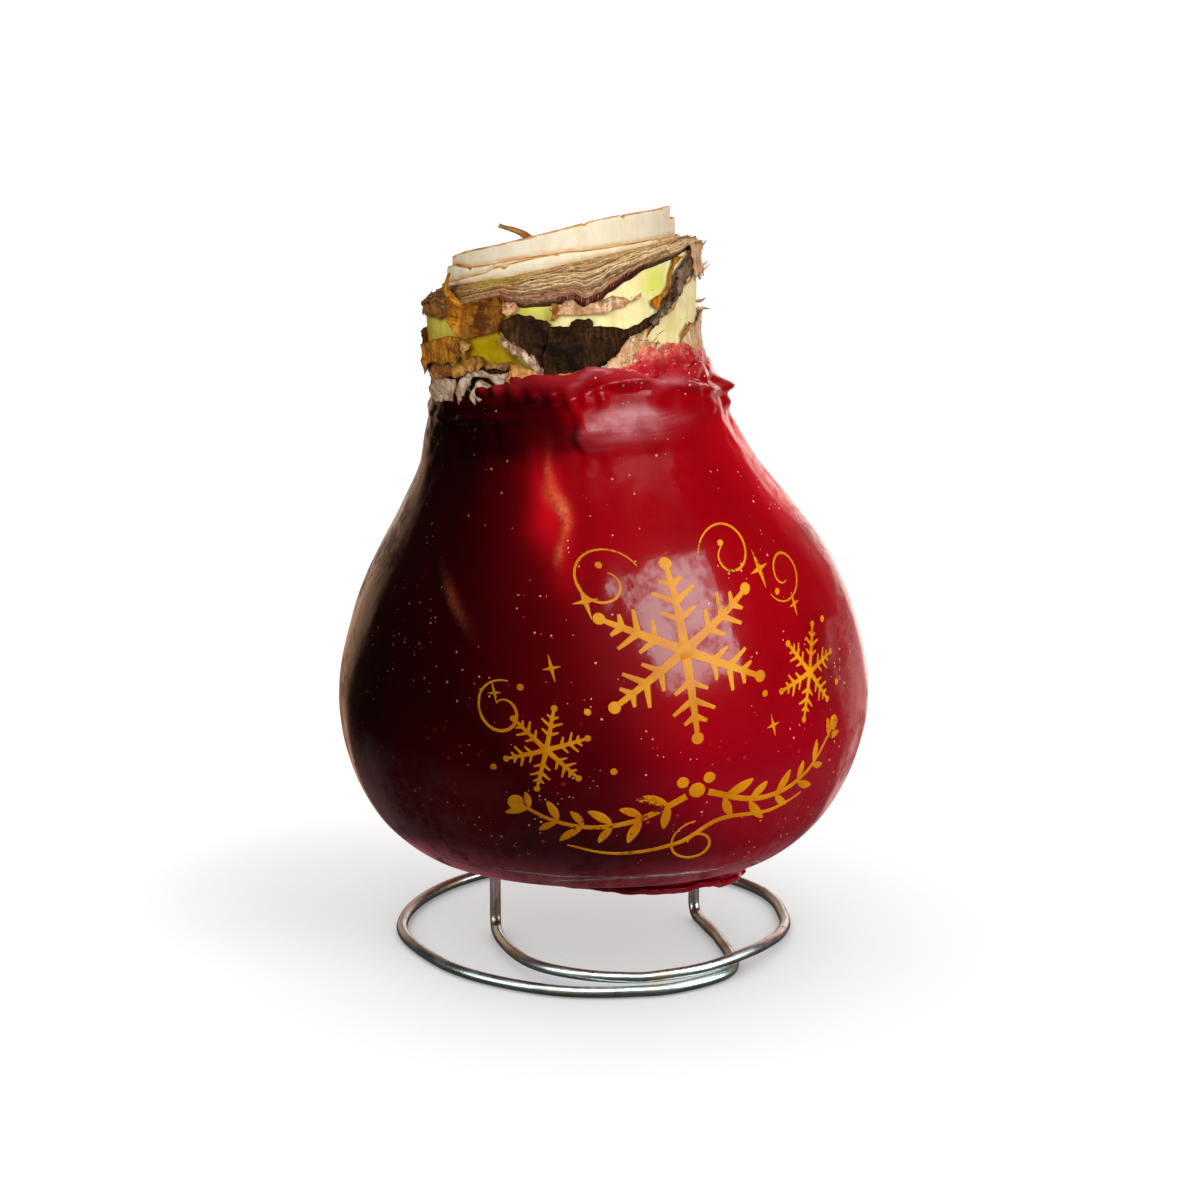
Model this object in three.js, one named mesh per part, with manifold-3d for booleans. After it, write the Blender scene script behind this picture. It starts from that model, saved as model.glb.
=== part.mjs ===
// Waxed amaryllis bulb on a bent wire stand.
//
// Millimetres, +Z up. The origin is on the surface that the stand rests on, under the middle of
// the bulb's belly. +X is to the right and +Y to the back, seen from the front of the bulb.
//
// The living bulb is dipped in wax up to its neck. The neck was cut slanting, and the fleshy inner
// leaf scales have since pushed up past the dried outer ones. Torn tunic skins cling to the neck.
// Two ends of the stand's wire stand in holes in the bulb's base.

import * as THREE from "three";
import { mergeVertices } from "three/addons/utils/BufferGeometryUtils.js";
import Module from "manifold-3d";

const wasm = await Module();
wasm.setup();

const { degToRad, lerp, smoothstep } = THREE.MathUtils;

// ---------------------------------------------------------------- driving sizes

const BELLY_RADIUS = 47.7;
const BELLY_HEIGHT = 46; // of the widest place, over the surface
const BASE_HEIGHT = 17.2; // of the wax under the bulb's middle
const BASE_SLOPE = 0.12; // how much the underside drops for each mm to the right
const FIT_GAP = 0.3; // between pieces that touch

const WAX_THICKNESS = 1.4;
const SKIRT_RADIUS = 26; // ragged foot of wax where the dipped bulb was set down
const SKIRT_SPREAD = 2.2; // how much further it spreads at the front right
const FRONT_RECESS = 2.6; // height of the belly's underside over the skirt, at the front
const COLLAR_HEIGHT = 104.5; // thicker second dip line under the wax's edge
const DRIP_HEIGHT = 103.5; // set drop of wax on the right of the neck

const NECK_RADIUS = 23.8; // half the width of the living neck
const NECK_LEAN = -7; // sideways shift of the neck at its top
const NECK_FLATTENING = 0.1; // the neck is this share narrower front to back
const SOCKET_FLOOR = 112; // where the modelled inner scales start inside the neck

const CUT_HEIGHT = 130.4; // of the slanting cut, at the neck's axis
const CUT_SIDE_RISE = Math.tan(degToRad(13)); // up to the right
const CUT_FRONT_RISE = Math.tan(degToRad(11)); // up to the front
const CUT_AXIS_X = -7.5;

const WIRE_RADIUS = 1;
const RING_CENTRE = new THREE.Vector2(-1.3, 0);
const LEG_TOP = 29; // how far up the legs reach, 13 mm into the bulb
const LEFT_LEG = new THREE.Vector2(-19.4, 0);
const RIGHT_LEG = new THREE.Vector2(17.2, 6.9);

// ---------------------------------------------------------------- form of the bulb

// Outside of the wax, [radius, height], from the skirt up to the neck.
const WAX_OUTLINE = [
  [SKIRT_RADIUS, BASE_HEIGHT - 0.4],
  [SKIRT_RADIUS + 0.5, BASE_HEIGHT + 0.2],
  [SKIRT_RADIUS - 0.2, BASE_HEIGHT + 0.9],
  [SKIRT_RADIUS - 0.8, BASE_HEIGHT + 1.4],
  [27.4, 18.1],
  [30.2, 18.1],
  [34.6, 20],
  [41.4, 26],
  [45.9, 35],
  [BELLY_RADIUS, BELLY_HEIGHT],
  [45.9, 58],
  [41.6, 70],
  [35.6, 80],
  [29.4, 90],
  [26.6, 97],
  [25.8, 103],
  [25.6, 107],
];

// Height of the wax's edge every 30 degrees round the neck, from the right over the back.
const WAX_EDGE = [106.5, 106, 105.5, 105, 104.5, 103.5, 102.6, 103, 106.3, 109.3, 108.3, 107.6];
const WAX_EDGE_NOMINAL = 107;

const outlineCurve = (pairs) => new THREE.SplineCurve(pairs.map(([r, z]) => new THREE.Vector2(r, z)));

// A smooth closed run through values spread evenly round the axis, read at an angle.
function around(values, angle) {
  const turns = ((angle / (2 * Math.PI)) % 1 + 1) % 1;
  const place = turns * values.length;
  const index = Math.floor(place);
  const from = values[index % values.length];
  const to = values[(index + 1) % values.length];
  return lerp(from, to, smoothstep(place - index, 0, 1));
}

// A smooth run through values spread evenly from 0 to 1, read at a share.
function along(values, share) {
  const place = Math.min(share, 1) * (values.length - 1);
  const index = Math.min(Math.floor(place), values.length - 2);
  return lerp(values[index], values[index + 1], smoothstep(place - index, 0, 1));
}

const neckShift = (height) => NECK_LEAN * smoothstep(height, 70, 118);
const neckOval = (height) => 1 - NECK_FLATTENING * smoothstep(height, 75, 110);

// Soft upright folds that the scale edges raise under the wax, strongest on the shoulder.
function folds(angle, height) {
  const strength = smoothstep(height, 22, 40) * (1 - smoothstep(height, 90, 104));
  return strength * (0.3 * Math.sin(3 * angle + 1.1) + 0.22 * Math.sin(7 * angle + 0.4 + height / 40));
}

// How far the underside is moved up: the foot slopes, and the belly is hollowed at the front.
function undersideRise(radius, angle, height) {
  const isUnder = 1 - smoothstep(height, 22, 26);
  const slope = BASE_SLOPE * radius * Math.cos(angle) * (1 - smoothstep(radius, 27, 31));
  const fromFront = (angle + Math.PI / 2) / degToRad(40);
  const hollow = smoothstep(radius, 26, 29) * (1 - smoothstep(radius, 32, 37));
  return isUnder * (FRONT_RECESS * hollow * Math.exp(-fromFront * fromFront) - slope);
}

// A point of the bulb's skin or of its wax, from its radius, angle and height.
function bodyPoint(radius, angle, height) {
  const inward = smoothstep(radius, 0, 20);
  const out = radius + inward * folds(angle, height);
  const x = neckShift(height) + out * Math.cos(angle);
  const y = out * Math.sin(angle) * neckOval(height);
  return new THREE.Vector3(x, y, height + undersideRise(radius, angle, height));
}

function cutPlane(x, y) {
  return CUT_HEIGHT + CUT_SIDE_RISE * (x - CUT_AXIS_X) - CUT_FRONT_RISE * y;
}

// How far the dried outer scales end under the cut: they sag at the front.
function dryDrop(angle) {
  const fromSag = (angle - degToRad(-84)) / degToRad(28);
  return 8 + 3.2 * Math.exp(-fromSag * fromSag) + 0.25 * Math.sin(9 * angle);
}

function neckPoint(radius, angle, height) {
  const x = neckShift(height) + radius * Math.cos(angle);
  return new THREE.Vector3(x, radius * Math.sin(angle) * (1 - NECK_FLATTENING), height);
}

function heightUnderCut(radius, angle, drop) {
  const foot = neckPoint(radius, angle, CUT_HEIGHT);
  return cutPlane(foot.x, foot.y) - drop;
}

// ---------------------------------------------------------------- making solids

// Turns a profile of [radius, height] round the Z axis, and moves each point where place says.
function turned(profile, segments, place) {
  const points = profile.map(([r, z]) => new THREE.Vector2(r, z));
  const geometry = new THREE.LatheGeometry(points, segments);
  geometry.rotateX(Math.PI / 2);
  return moved(geometry, (p) => place(Math.hypot(p.x, p.y), Math.atan2(p.y, p.x), p.z));
}

function moved(geometry, place) {
  const position = geometry.getAttribute("position");
  const point = new THREE.Vector3();
  for (let i = 0; i < position.count; i++) {
    point.fromBufferAttribute(position, i);
    position.setXYZ(i, ...place(point).toArray());
  }
  geometry.computeVertexNormals();
  return geometry;
}

function toSolid(geometry) {
  const bare = geometry.clone();
  bare.deleteAttribute("normal");
  bare.deleteAttribute("uv");
  const merged = mergeVertices(bare, 1e-3);
  return new wasm.Manifold(
    new wasm.Mesh({
      numProp: 3,
      vertProperties: merged.getAttribute("position").array,
      triVerts: new Uint32Array(merged.index.array),
    }),
  );
}

function toGeometry(solid) {
  const mesh = solid.getMesh();
  const geometry = new THREE.BufferGeometry();
  geometry.setAttribute("position", new THREE.BufferAttribute(mesh.vertProperties, 3));
  geometry.setIndex(new THREE.BufferAttribute(mesh.triVerts, 1));
  geometry.computeVertexNormals();
  return geometry;
}

// The two plain holes that the stand's legs stand in.
function legHoles() {
  return [LEFT_LEG, RIGHT_LEG].map((leg) => {
    const radius = WIRE_RADIUS + FIT_GAP;
    const bottom = 5;
    const top = LEG_TOP + FIT_GAP;
    const hole = new THREE.CylinderGeometry(radius, radius, top - bottom, 12);
    hole.rotateX(Math.PI / 2);
    hole.translate(leg.x, leg.y, (top + bottom) / 2);
    return toSolid(hole);
  });
}

function withLegHoles(geometry) {
  const drilled = legHoles().reduce((solid, hole) => solid.subtract(hole), toSolid(geometry));
  return toGeometry(drilled);
}

// ---------------------------------------------------------------- the wax and the bulb

// The outline moved inwards by a wall's thickness, square to itself.
function inset(pairs, depth) {
  const points = pairs.map(([r, z]) => new THREE.Vector2(r, z));
  return points.map((point, i) => {
    const before = points[Math.max(i - 1, 0)];
    const after = points[Math.min(i + 1, points.length - 1)];
    const run = after.clone().sub(before).normalize();
    return [point.x - depth * run.y, point.y + depth * run.x];
  });
}

const WAX_INSIDE_FROM = 5; // the inside leaves out the skirt's points
const BASE_PLATE_RADIUS = 22; // of the bulb's basal plate

function waxCoat() {
  const outside = outlineCurve(WAX_OUTLINE).getPoints(27).map((p) => [p.x, p.y]);
  const inside = inset(WAX_OUTLINE, WAX_THICKNESS).slice(WAX_INSIDE_FROM);
  const floor = BASE_HEIGHT + WAX_THICKNESS;
  const profile = [
    [0, BASE_HEIGHT],
    [SKIRT_RADIUS - 4, BASE_HEIGHT],
    ...outside,
    ...inside.reverse(),
    [BASE_PLATE_RADIUS + 4, floor + 1.3],
    [BASE_PLATE_RADIUS, floor],
    [0, floor],
  ];
  return withLegHoles(turned(profile, 60, waxPoint));
}

function waxPoint(radius, angle, height) {
  const nearEdge = smoothstep(height, 94, WAX_EDGE_NOMINAL);
  const ripple = 0.45 * Math.sin(9 * angle) + 0.3 * Math.sin(17 * angle + 1);
  const edge = around(WAX_EDGE, angle) + ripple - WAX_EDGE_NOMINAL;
  const finalHeight = height + nearEdge * edge;
  const outer = radius > WAX_NECK_INSIDE ? 1 : 0;
  const overHeight = (finalHeight - COLLAR_HEIGHT) / 1.8;
  const collar = 0.7 * Math.exp(-overHeight * overHeight) * Math.max(0, Math.cos(angle + 0.9));
  const fromDrip = (finalHeight - DRIP_HEIGHT) / 1.6;
  const drip = 2.6 * Math.exp(-fromDrip * fromDrip - (angle / 0.16) ** 2);
  return bodyPoint(radius + outer * (collar + drip) + skirtSpread(radius, angle, height), angle, finalHeight);
}

function skirtSpread(radius, angle, height) {
  const fromFlap = (angle + degToRad(42)) / degToRad(26);
  const ragged = 0.35 * Math.sin(5 * angle) + 0.3 * Math.sin(13 * angle);
  const atFoot = smoothstep(radius, 23, 25.5) * (1 - smoothstep(height, BASE_HEIGHT + 0.6, BASE_HEIGHT + 1.2));
  return atFoot * (SKIRT_SPREAD * Math.exp(-fromFlap * fromFlap) + ragged);
}

const WAX_NECK_INSIDE = 24.9; // splits the wax's outer face from its inner one at the neck

const NECK_POINTS = 3; // of the wax's outline, above the start of the living neck
const NECK_START = 98;
const NECK_BASE = 110; // above it the bulb's outline stretches up to the dried scales

// The living bulb: solid from its basal plate to its neck, with a socket for the inner scales.
function livingBulb() {
  const skin = inset(WAX_OUTLINE, WAX_THICKNESS + FIT_GAP).slice(WAX_INSIDE_FROM);
  const floor = BASE_HEIGHT + WAX_THICKNESS + FIT_GAP;
  const neckTop = NECK_BASE + 1;
  const profile = [
    [0, floor],
    [BASE_PLATE_RADIUS, floor],
    [BASE_PLATE_RADIUS + 4, floor + 1.3],
    ...skin.slice(0, -NECK_POINTS),
    [NECK_RADIUS, NECK_START],
    ...[0, 0.2, 0.45, 1].map((share) => [NECK_RADIUS, NECK_BASE + share]),
    [SCALES_RADIUS + FIT_GAP, neckTop],
    [SCALES_RADIUS + FIT_GAP, NECK_BASE],
    [0, NECK_BASE],
  ];
  return withLegHoles(turned(profile, 48, bulbPoint));
}

function bulbPoint(radius, angle, height) {
  if (height <= NECK_BASE - 1) {
    return bodyPoint(radius, angle, height);
  }
  const share = height - NECK_BASE;
  const isOutside = radius > SCALES_RADIUS + 1;
  const low = isOutside ? NECK_BASE : SOCKET_FLOOR;
  const high = heightUnderCut(radius, angle, dryDrop(angle) + DRY_LIP + FIT_GAP);
  return neckPoint(radius, angle, lerp(low, high, share));
}

// ---------------------------------------------------------------- the cut neck

const SCALE_THICKNESS = 0.65;
const SCALES_RADIUS = 21; // outside of the outermost fleshy scale
const DRY_DROP_INSIDE = 6.4; // how far the dried scales start under the cut
const DRY_LIP = 1.2; // height of the outermost dried scale's edge

// Innermost fleshy scales: one stub with the wrapped scales' edges raised on its cut face.
function innerStub() {
  const radius = SCALES_RADIUS - 2 * (SCALE_THICKNESS + FIT_GAP);
  const bands = [radius, 16.4, 13.2, 10, 6.8, 3.6];
  const groove = 0.35;
  const profile = [[0, 0], [radius, 0], [radius, 0.7]];
  bands.forEach((outer, i) => {
    const inner = bands[i + 1] ?? 0;
    const sunk = i === 0 ? 0 : 0.03 + 0.05 * (i % 2);
    profile.push([outer, 1 - sunk]);
    if (inner > 0) {
      profile.push([inner + groove, 1 - sunk], [inner + groove / 2, 0.88]);
    }
  });
  profile.push([0, 0.94]);
  return turned(profile, 36, (r, angle, share) => scalePoint(r, angle, share, 0));
}

// A fleshy scale as a thin sleeve round the ones inside it.
function scaleSleeve(outerRadius, drop) {
  const innerRadius = outerRadius - SCALE_THICKNESS;
  const shares = [0, 0.4, 0.7, 1];
  const profile = [
    ...shares.map((share) => [outerRadius, share]),
    ...shares.reverse().map((share) => [innerRadius, share]),
    [outerRadius, 0],
  ];
  return turned(profile, 44, (r, angle, share) => scalePoint(r, angle, share, drop));
}

const SCALE_WAVE = 0.25;

function scalePoint(radius, angle, share, drop) {
  const floor = SOCKET_FLOOR + FIT_GAP;
  const wave = SCALE_WAVE * Math.sin(4 * angle + drop) * smoothstep(share, 0.6, 0.95);
  const top = heightUnderCut(radius, angle, drop) + wave;
  return neckPoint(radius, angle, lerp(floor, top, share));
}

// The dried outer scales: a ring of thin edges, each lower than the one inside it.
function dryScales() {
  const edges = 5;
  const inside = SCALES_RADIUS + FIT_GAP;
  const outside = NECK_RADIUS + 0.6;
  const edgeWidth = (outside - inside) / edges;
  const profile = [[inside, 1 + DRY_LIP / 10], [outside, 1 + DRY_LIP / 10]];
  for (let i = edges; i > 0; i--) {
    const height = i / edges;
    const rim = inside + i * edgeWidth;
    profile.push([rim, height], [rim - edgeWidth * 0.75, height - 0.03]);
  }
  profile.push([inside, 0], [inside, 1 + DRY_LIP / 10]);
  return turned(profile, 60, dryPoint);
}

// share runs from 0 at the innermost edge to 1 at the outermost, and past 1 under it, by 10 mm each.
function dryPoint(radius, angle, share) {
  const outermost = dryDrop(angle);
  const drop = share <= 1 ? lerp(DRY_DROP_INSIDE, outermost, share) : outermost + (share - 1) * 10;
  return neckPoint(radius, angle, heightUnderCut(radius, angle, drop));
}

// A shrivelled leaf tip that curls up from the cut, to the left.
function driedTip() {
  const length = 5;
  const width = 1.3;
  const thickness = 0.7;
  const lift = 1.8;
  const root = new THREE.Vector2(-12.6, -15);
  const blade = new THREE.BoxGeometry(length, width, thickness, 6, 1, 1);
  return moved(blade, (p) => {
    const share = 0.5 - p.x / length;
    const x = root.x - share * length;
    const y = root.y + share + p.y * (1 - 0.35 * share);
    const seat = cutPlane(x, y) + FIT_GAP + thickness / 2;
    return new THREE.Vector3(x, y, seat + lift * share ** 0.7 + p.z);
  });
}

// ---------------------------------------------------------------- torn tunic skins

const SKIN_THICKNESS = 0.8;

// Uneven torn edge, in mm to either side of the edge's own line.
const tear = (angle, seed) => 0.22 * Math.sin(15 * angle + seed) + 0.16 * Math.sin(31 * angle + 2.3 * seed);

// One torn piece of dry skin that clings to the neck, between two angles in degrees, with the
// heights of its lower and upper edges on the way. layer 1 lies over layer 0, and flare lifts
// the lower corner that has come away.
function tunicSkin({ from, to, low, high, layer = 0, flare = 0 }) {
  const steps = Math.max(3, Math.round((to - from) / 5));
  const plate = new THREE.BoxGeometry(1, 1, 1, steps, 2, 1);
  return moved(plate, (p) => {
    const acrossShare = p.x + 0.5;
    const upShare = p.y + 0.5;
    const angle = degToRad(lerp(from, to, acrossShare));
    const lowEdge = along(low, acrossShare) + tear(angle, from);
    const highEdge = along(high, acrossShare) + tear(angle, to);
    const lift = flare * (1 - acrossShare) ** 2 * (1 - upShare);
    const inside = NECK_RADIUS + FIT_GAP + layer * (SKIN_THICKNESS + FIT_GAP);
    const radius = inside + lift + (p.z + 0.5) * SKIN_THICKNESS;
    return neckPoint(radius, angle, lerp(lowEdge, highEdge, upShare));
  });
}

const SKIN_COLOURS = {
  dark: 0x3b2416,
  brown: 0x8a4f1c,
  tan: 0xc08a52,
  silver: 0xa5837a,
  white: 0xcfc4b4,
};

const TUNIC_SKINS = {
  tunic_dark_front: {
    colour: "dark",
    from: -114,
    to: -30,
    low: [116.6, 111.4, 110.6, 111.5, 115.2, 117.8, 121.2],
    high: [119.1, 119.4, 119.4, 117.9, 118.1, 122, 125.4],
  },
  tunic_silver_front: {
    colour: "silver",
    from: -118,
    to: -96,
    low: [114.4, 111.8, 110.4],
    high: [117, 114.6, 112],
    layer: 1,
    flare: 0.3,
  },
  tunic_tan_front: {
    colour: "tan",
    from: -75,
    to: -53,
    low: [109.5, 109.6, 109.7],
    high: [110.5, 112.2, 114.8],
  },
  tunic_tan_middle: {
    colour: "tan",
    from: -92,
    to: -66,
    low: [119.7, 119.2, 120],
    high: [121.8, 122.6, 121.3],
    layer: 1,
  },
  tunic_brown_left: {
    colour: "brown",
    from: -143,
    to: -116,
    low: [116.8, 114.6, 116.2],
    high: [118.7, 120.2, 120.8],
    flare: 0.5,
  },
  tunic_brown_far_left: {
    colour: "brown",
    from: -171,
    to: -142,
    low: [107.9, 108.9, 110.4],
    high: [111.2, 112.6, 113.8],
    flare: 0.9,
  },
  tunic_tan_left: {
    colour: "tan",
    from: -168,
    to: -126,
    low: [105.8, 106.2, 107.8, 109.2],
    high: [107.2, 107.9, 109.4, 111],
  },
  tunic_white_left: {
    colour: "white",
    from: -163,
    to: -104,
    low: [103.8, 104.3, 106.4, 108.3, 109.8],
    high: [105, 105.4, 107.4, 109.6, 111],
  },
  tunic_tan_curl: {
    colour: "tan",
    from: -140,
    to: -134,
    low: [110.6, 110.9],
    high: [113.8, 113.9],
    flare: 0.8,
  },
  tunic_tan_right_low: {
    colour: "tan",
    from: -29,
    to: 16,
    low: [109.6, 109.2, 108.8],
    high: [115.6, 116.8, 115],
  },
  tunic_tan_right_high: {
    colour: "tan",
    from: -26,
    to: 14,
    low: [122.2, 121.6, 122.2],
    high: [127.6, 126.4, 125],
    flare: 0.3,
  },
  tunic_brown_back_right: {
    colour: "brown",
    from: 24,
    to: 66,
    low: [108.2, 107.8, 108.6],
    high: [119.4, 120.2, 117],
  },
  tunic_dark_back: {
    colour: "dark",
    from: 58,
    to: 112,
    low: [109.6, 108.2, 109.4, 111],
    high: [114.6, 115.8, 115.2, 113.8],
    layer: 1,
  },
  tunic_tan_back: {
    colour: "tan",
    from: 96,
    to: 134,
    low: [107.4, 106.8, 106.6],
    high: [113.4, 113.8, 111.2],
  },
  tunic_brown_back_left: {
    colour: "brown",
    from: 142,
    to: 180,
    low: [106.8, 105.6, 105.2],
    high: [112.4, 113.2, 111.6],
  },
};

// A shred of skin that has curled up off the left of the neck, over the dried scales.
function tunicShred() {
  const length = 6.6;
  const width = 3;
  const blade = new THREE.BoxGeometry(width, length, SKIN_THICKNESS, 2, 6, 1);
  return moved(blade, (p) => {
    const up = p.y / length + 0.5;
    const angle = degToRad(lerp(-134, -145, up)) + (p.x / NECK_RADIUS) * (1 - 0.7 * up);
    const outward = lerp(NECK_RADIUS + 1.8, SCALES_RADIUS + 1.6, up ** 1.5);
    return neckPoint(outward + p.z, angle, 120.2 + 5.6 * up);
  });
}

// ---------------------------------------------------------------- the wire stand

// Plan of the wire: the inner run goes from the left leg forwards and over the ring on the right.
// The ring then goes round the back, and its end turns in under the inner run to the right leg.
const OVERLAP_LIFT = 2.3; // the wire's diameter, and a little air where it crosses itself
const INNER_RUN = [
  [-19, -3.6, 0.15],
  [-18.2, -9, 0.35],
  [-15.9, -16.8, 0.55],
  [-12.6, -23.9, 0.8],
  [-8.1, -28.6, 0.95],
  [-1.5, -31.7, 1],
  [5.1, -32.6, 1],
  [9.5, -32, 1],
  [18.5, -27.7, 1],
  [26.7, -19.5, 1],
  [30.6, -12.4, 0.7],
  [32.7, -6.4, 0.4],
  [33.9, 0.3, 0.15],
];
const OUTER_RUN_END = [
  [11.7, -32.2],
  [18, -28.6],
  [22.2, -24.6],
  [23.7, -20.4],
  [23.2, -14.6],
  [21.2, -5.4],
];
// The rest of the ring is read from the radii of its centre line every 30 degrees, from +X over
// the back to where its end begins.
const RING_RADII = [35.1, 36.6, 36.2, 35.8, 35.4, 35.2, 35.3, 33.5, 33.1, 33.8, 34.6, 34.6];
const RING_FROM = 11; // degrees
const RING_TO = 281;
const RING_STEP = 9;
const FOOT_BEND = 2.4; // radius of the bend between a leg and its foot

const centreHeight = (lift) => WIRE_RADIUS + lift * OVERLAP_LIFT;

function ringPoint(degrees) {
  const angle = degToRad(degrees);
  const radius = around(RING_RADII, angle);
  const x = RING_CENTRE.x + radius * Math.cos(angle);
  return new THREE.Vector3(x, RING_CENTRE.y + radius * Math.sin(angle), WIRE_RADIUS);
}

// A leg and the bend at its foot, from the top down: direction points away along the foot.
function legStations(leg, direction) {
  const stations = [new THREE.Vector3(leg.x, leg.y, LEG_TOP)];
  const bendSteps = 5;
  for (let i = 0; i <= bendSteps; i++) {
    const turn = (i / bendSteps) * (Math.PI / 2);
    const out = FOOT_BEND * (1 - Math.cos(turn));
    const height = WIRE_RADIUS + FOOT_BEND * (1 - Math.sin(turn));
    stations.push(new THREE.Vector3(leg.x + direction.x * out, leg.y + direction.y * out, height));
  }
  return stations;
}

function wireStations() {
  const inner = INNER_RUN.map(([x, y, lift]) => new THREE.Vector3(x, y, centreHeight(lift)));
  const outer = OUTER_RUN_END.map(([x, y]) => new THREE.Vector3(x, y, WIRE_RADIUS));
  const ring = [];
  for (let degrees = RING_FROM; degrees <= RING_TO; degrees += RING_STEP) {
    ring.push(ringPoint(degrees));
  }
  const smooth = new THREE.CatmullRomCurve3([...inner, ...ring, ...outer]);
  const steps = 84;
  const lying = smooth.getSpacedPoints(steps);
  return [
    ...legStations(LEFT_LEG, LEFT_FOOT),
    ...lying,
    ...legStations(RIGHT_LEG, RIGHT_FOOT).reverse(),
  ];
}

const footDirection = (leg, [x, y]) => new THREE.Vector2(x - leg.x, y - leg.y).normalize();
const LEFT_FOOT = footDirection(LEFT_LEG, INNER_RUN[0]);
const RIGHT_FOOT = footDirection(RIGHT_LEG, OUTER_RUN_END.at(-1));

// A path that stops at given stations and keeps its section upright, so that the wire has one
// flat run of facets underneath.
class WirePath extends THREE.Curve {
  constructor(stations) {
    super();
    this.stations = stations;
  }

  getSpacedPoints() {
    return this.stations;
  }

  computeFrenetFrames() {
    const last = this.stations.length - 1;
    const frames = { tangents: [], normals: [], binormals: [] };
    this.stations.forEach((station, i) => {
      const before = this.stations[Math.max(i - 1, 0)];
      const after = this.stations[Math.min(i + 1, last)];
      const tangent = after.clone().sub(before).normalize();
      const foot = i < last / 2 ? LEFT_FOOT : RIGHT_FOOT;
      const upright = new THREE.Vector3(foot.x * 1e-3, foot.y * 1e-3, 1);
      const binormal = upright.addScaledVector(tangent, -upright.dot(tangent)).normalize();
      frames.tangents.push(tangent);
      frames.binormals.push(binormal);
      frames.normals.push(binormal.clone().cross(tangent));
    });
    return frames;
  }
}

// A regular section whose flats touch the wire's radius, with one flat underneath.
function wireSection(sides) {
  const corner = WIRE_RADIUS / Math.cos(Math.PI / sides);
  const section = new THREE.Shape();
  for (let i = 0; i < sides; i++) {
    const angle = ((i + 0.5) / sides) * 2 * Math.PI;
    const move = i === 0 ? "moveTo" : "lineTo";
    section[move](corner * Math.sin(angle), corner * Math.cos(angle));
  }
  section.closePath();
  return section;
}

function wireStand() {
  const stations = wireStations();
  return new THREE.ExtrudeGeometry(wireSection(10), {
    extrudePath: new WirePath(stations),
    steps: stations.length - 1,
    curveSegments: 1,
    bevelEnabled: false,
  });
}

// ---------------------------------------------------------------- the assembly

const group = new THREE.Group();

function add(name, geometry, color, roughness, metalness = 0) {
  const mesh = new THREE.Mesh(geometry, new THREE.MeshStandardMaterial({ color, roughness, metalness }));
  mesh.name = name;
  group.add(mesh);
}

add("wire_stand", wireStand(), 0xb4b6b8, 0.25, 1);
add("wax_coat", waxCoat(), 0x8c0a14, 0.2);
add("bulb", livingBulb(), 0xc2c86a, 0.5);
add("inner_scales", innerStub(), 0xe6dfc8, 0.5);
add("middle_scale", scaleSleeve(SCALES_RADIUS - SCALE_THICKNESS - FIT_GAP, 2.6), 0xe3dac0, 0.5);
add("outer_scale", scaleSleeve(SCALES_RADIUS, 4.7), 0xdfd4b6, 0.5);
add("dry_scales", dryScales(), 0xa88456, 0.8);
add("dried_leaf_tip", driedTip(), 0x8a6238, 0.8);
add("tunic_shred", tunicShred(), 0x9a5c1e, 0.6);
for (const [name, { colour, ...shape }] of Object.entries(TUNIC_SKINS)) {
  add(name, tunicSkin(shape), SKIN_COLOURS[colour], 0.7);
}

export default group;
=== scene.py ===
"""A waxed amaryllis bulb on its bent wire stand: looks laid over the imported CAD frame.

The forms are given in millimetres and made in metres. They repeat the CAD model's own forms and
add what is too fine for it: the wax's dip lines and dents, the thin edges of the cut and dried
scales, torn papery skins, crumbs of wax and a worn gold print.
"""

import math
import random

import bpy
import numpy as np
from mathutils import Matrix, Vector, noise
from mathutils.bvhtree import BVHTree
from mathutils.geometry import delaunay_2d_cdt


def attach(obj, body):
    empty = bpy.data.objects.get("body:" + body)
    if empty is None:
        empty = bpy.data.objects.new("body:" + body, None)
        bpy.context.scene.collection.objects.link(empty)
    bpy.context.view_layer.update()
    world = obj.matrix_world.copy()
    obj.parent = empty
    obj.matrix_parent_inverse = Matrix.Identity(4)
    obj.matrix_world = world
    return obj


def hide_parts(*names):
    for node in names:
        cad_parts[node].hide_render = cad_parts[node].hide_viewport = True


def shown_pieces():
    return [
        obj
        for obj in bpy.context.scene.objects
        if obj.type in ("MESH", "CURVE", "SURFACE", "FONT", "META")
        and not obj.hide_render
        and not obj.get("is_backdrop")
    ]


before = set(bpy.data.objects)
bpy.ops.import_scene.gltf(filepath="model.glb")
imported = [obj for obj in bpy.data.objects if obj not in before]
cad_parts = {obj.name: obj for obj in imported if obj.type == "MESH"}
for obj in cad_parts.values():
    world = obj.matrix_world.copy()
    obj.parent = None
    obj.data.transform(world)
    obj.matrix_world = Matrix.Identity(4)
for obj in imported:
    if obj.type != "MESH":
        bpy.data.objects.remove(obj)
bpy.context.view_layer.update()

MM = 0.001
SCENE = bpy.context.scene


def add_object(name, data):
    """A new object in the scene, at the origin."""
    made = bpy.data.objects.new(name, data)
    SCENE.collection.objects.link(made)
    return made

# ---------------- camera

TARGET = Vector((-0.18, 0, 63.2)) * MM
CAMERA_DISTANCE = 0.72
CAMERA_ELEVATION = math.radians(15.65)
FOCAL_LENGTH_IN_PIXELS = 4003
IMAGE_WIDTH_IN_PIXELS = 1200


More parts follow.
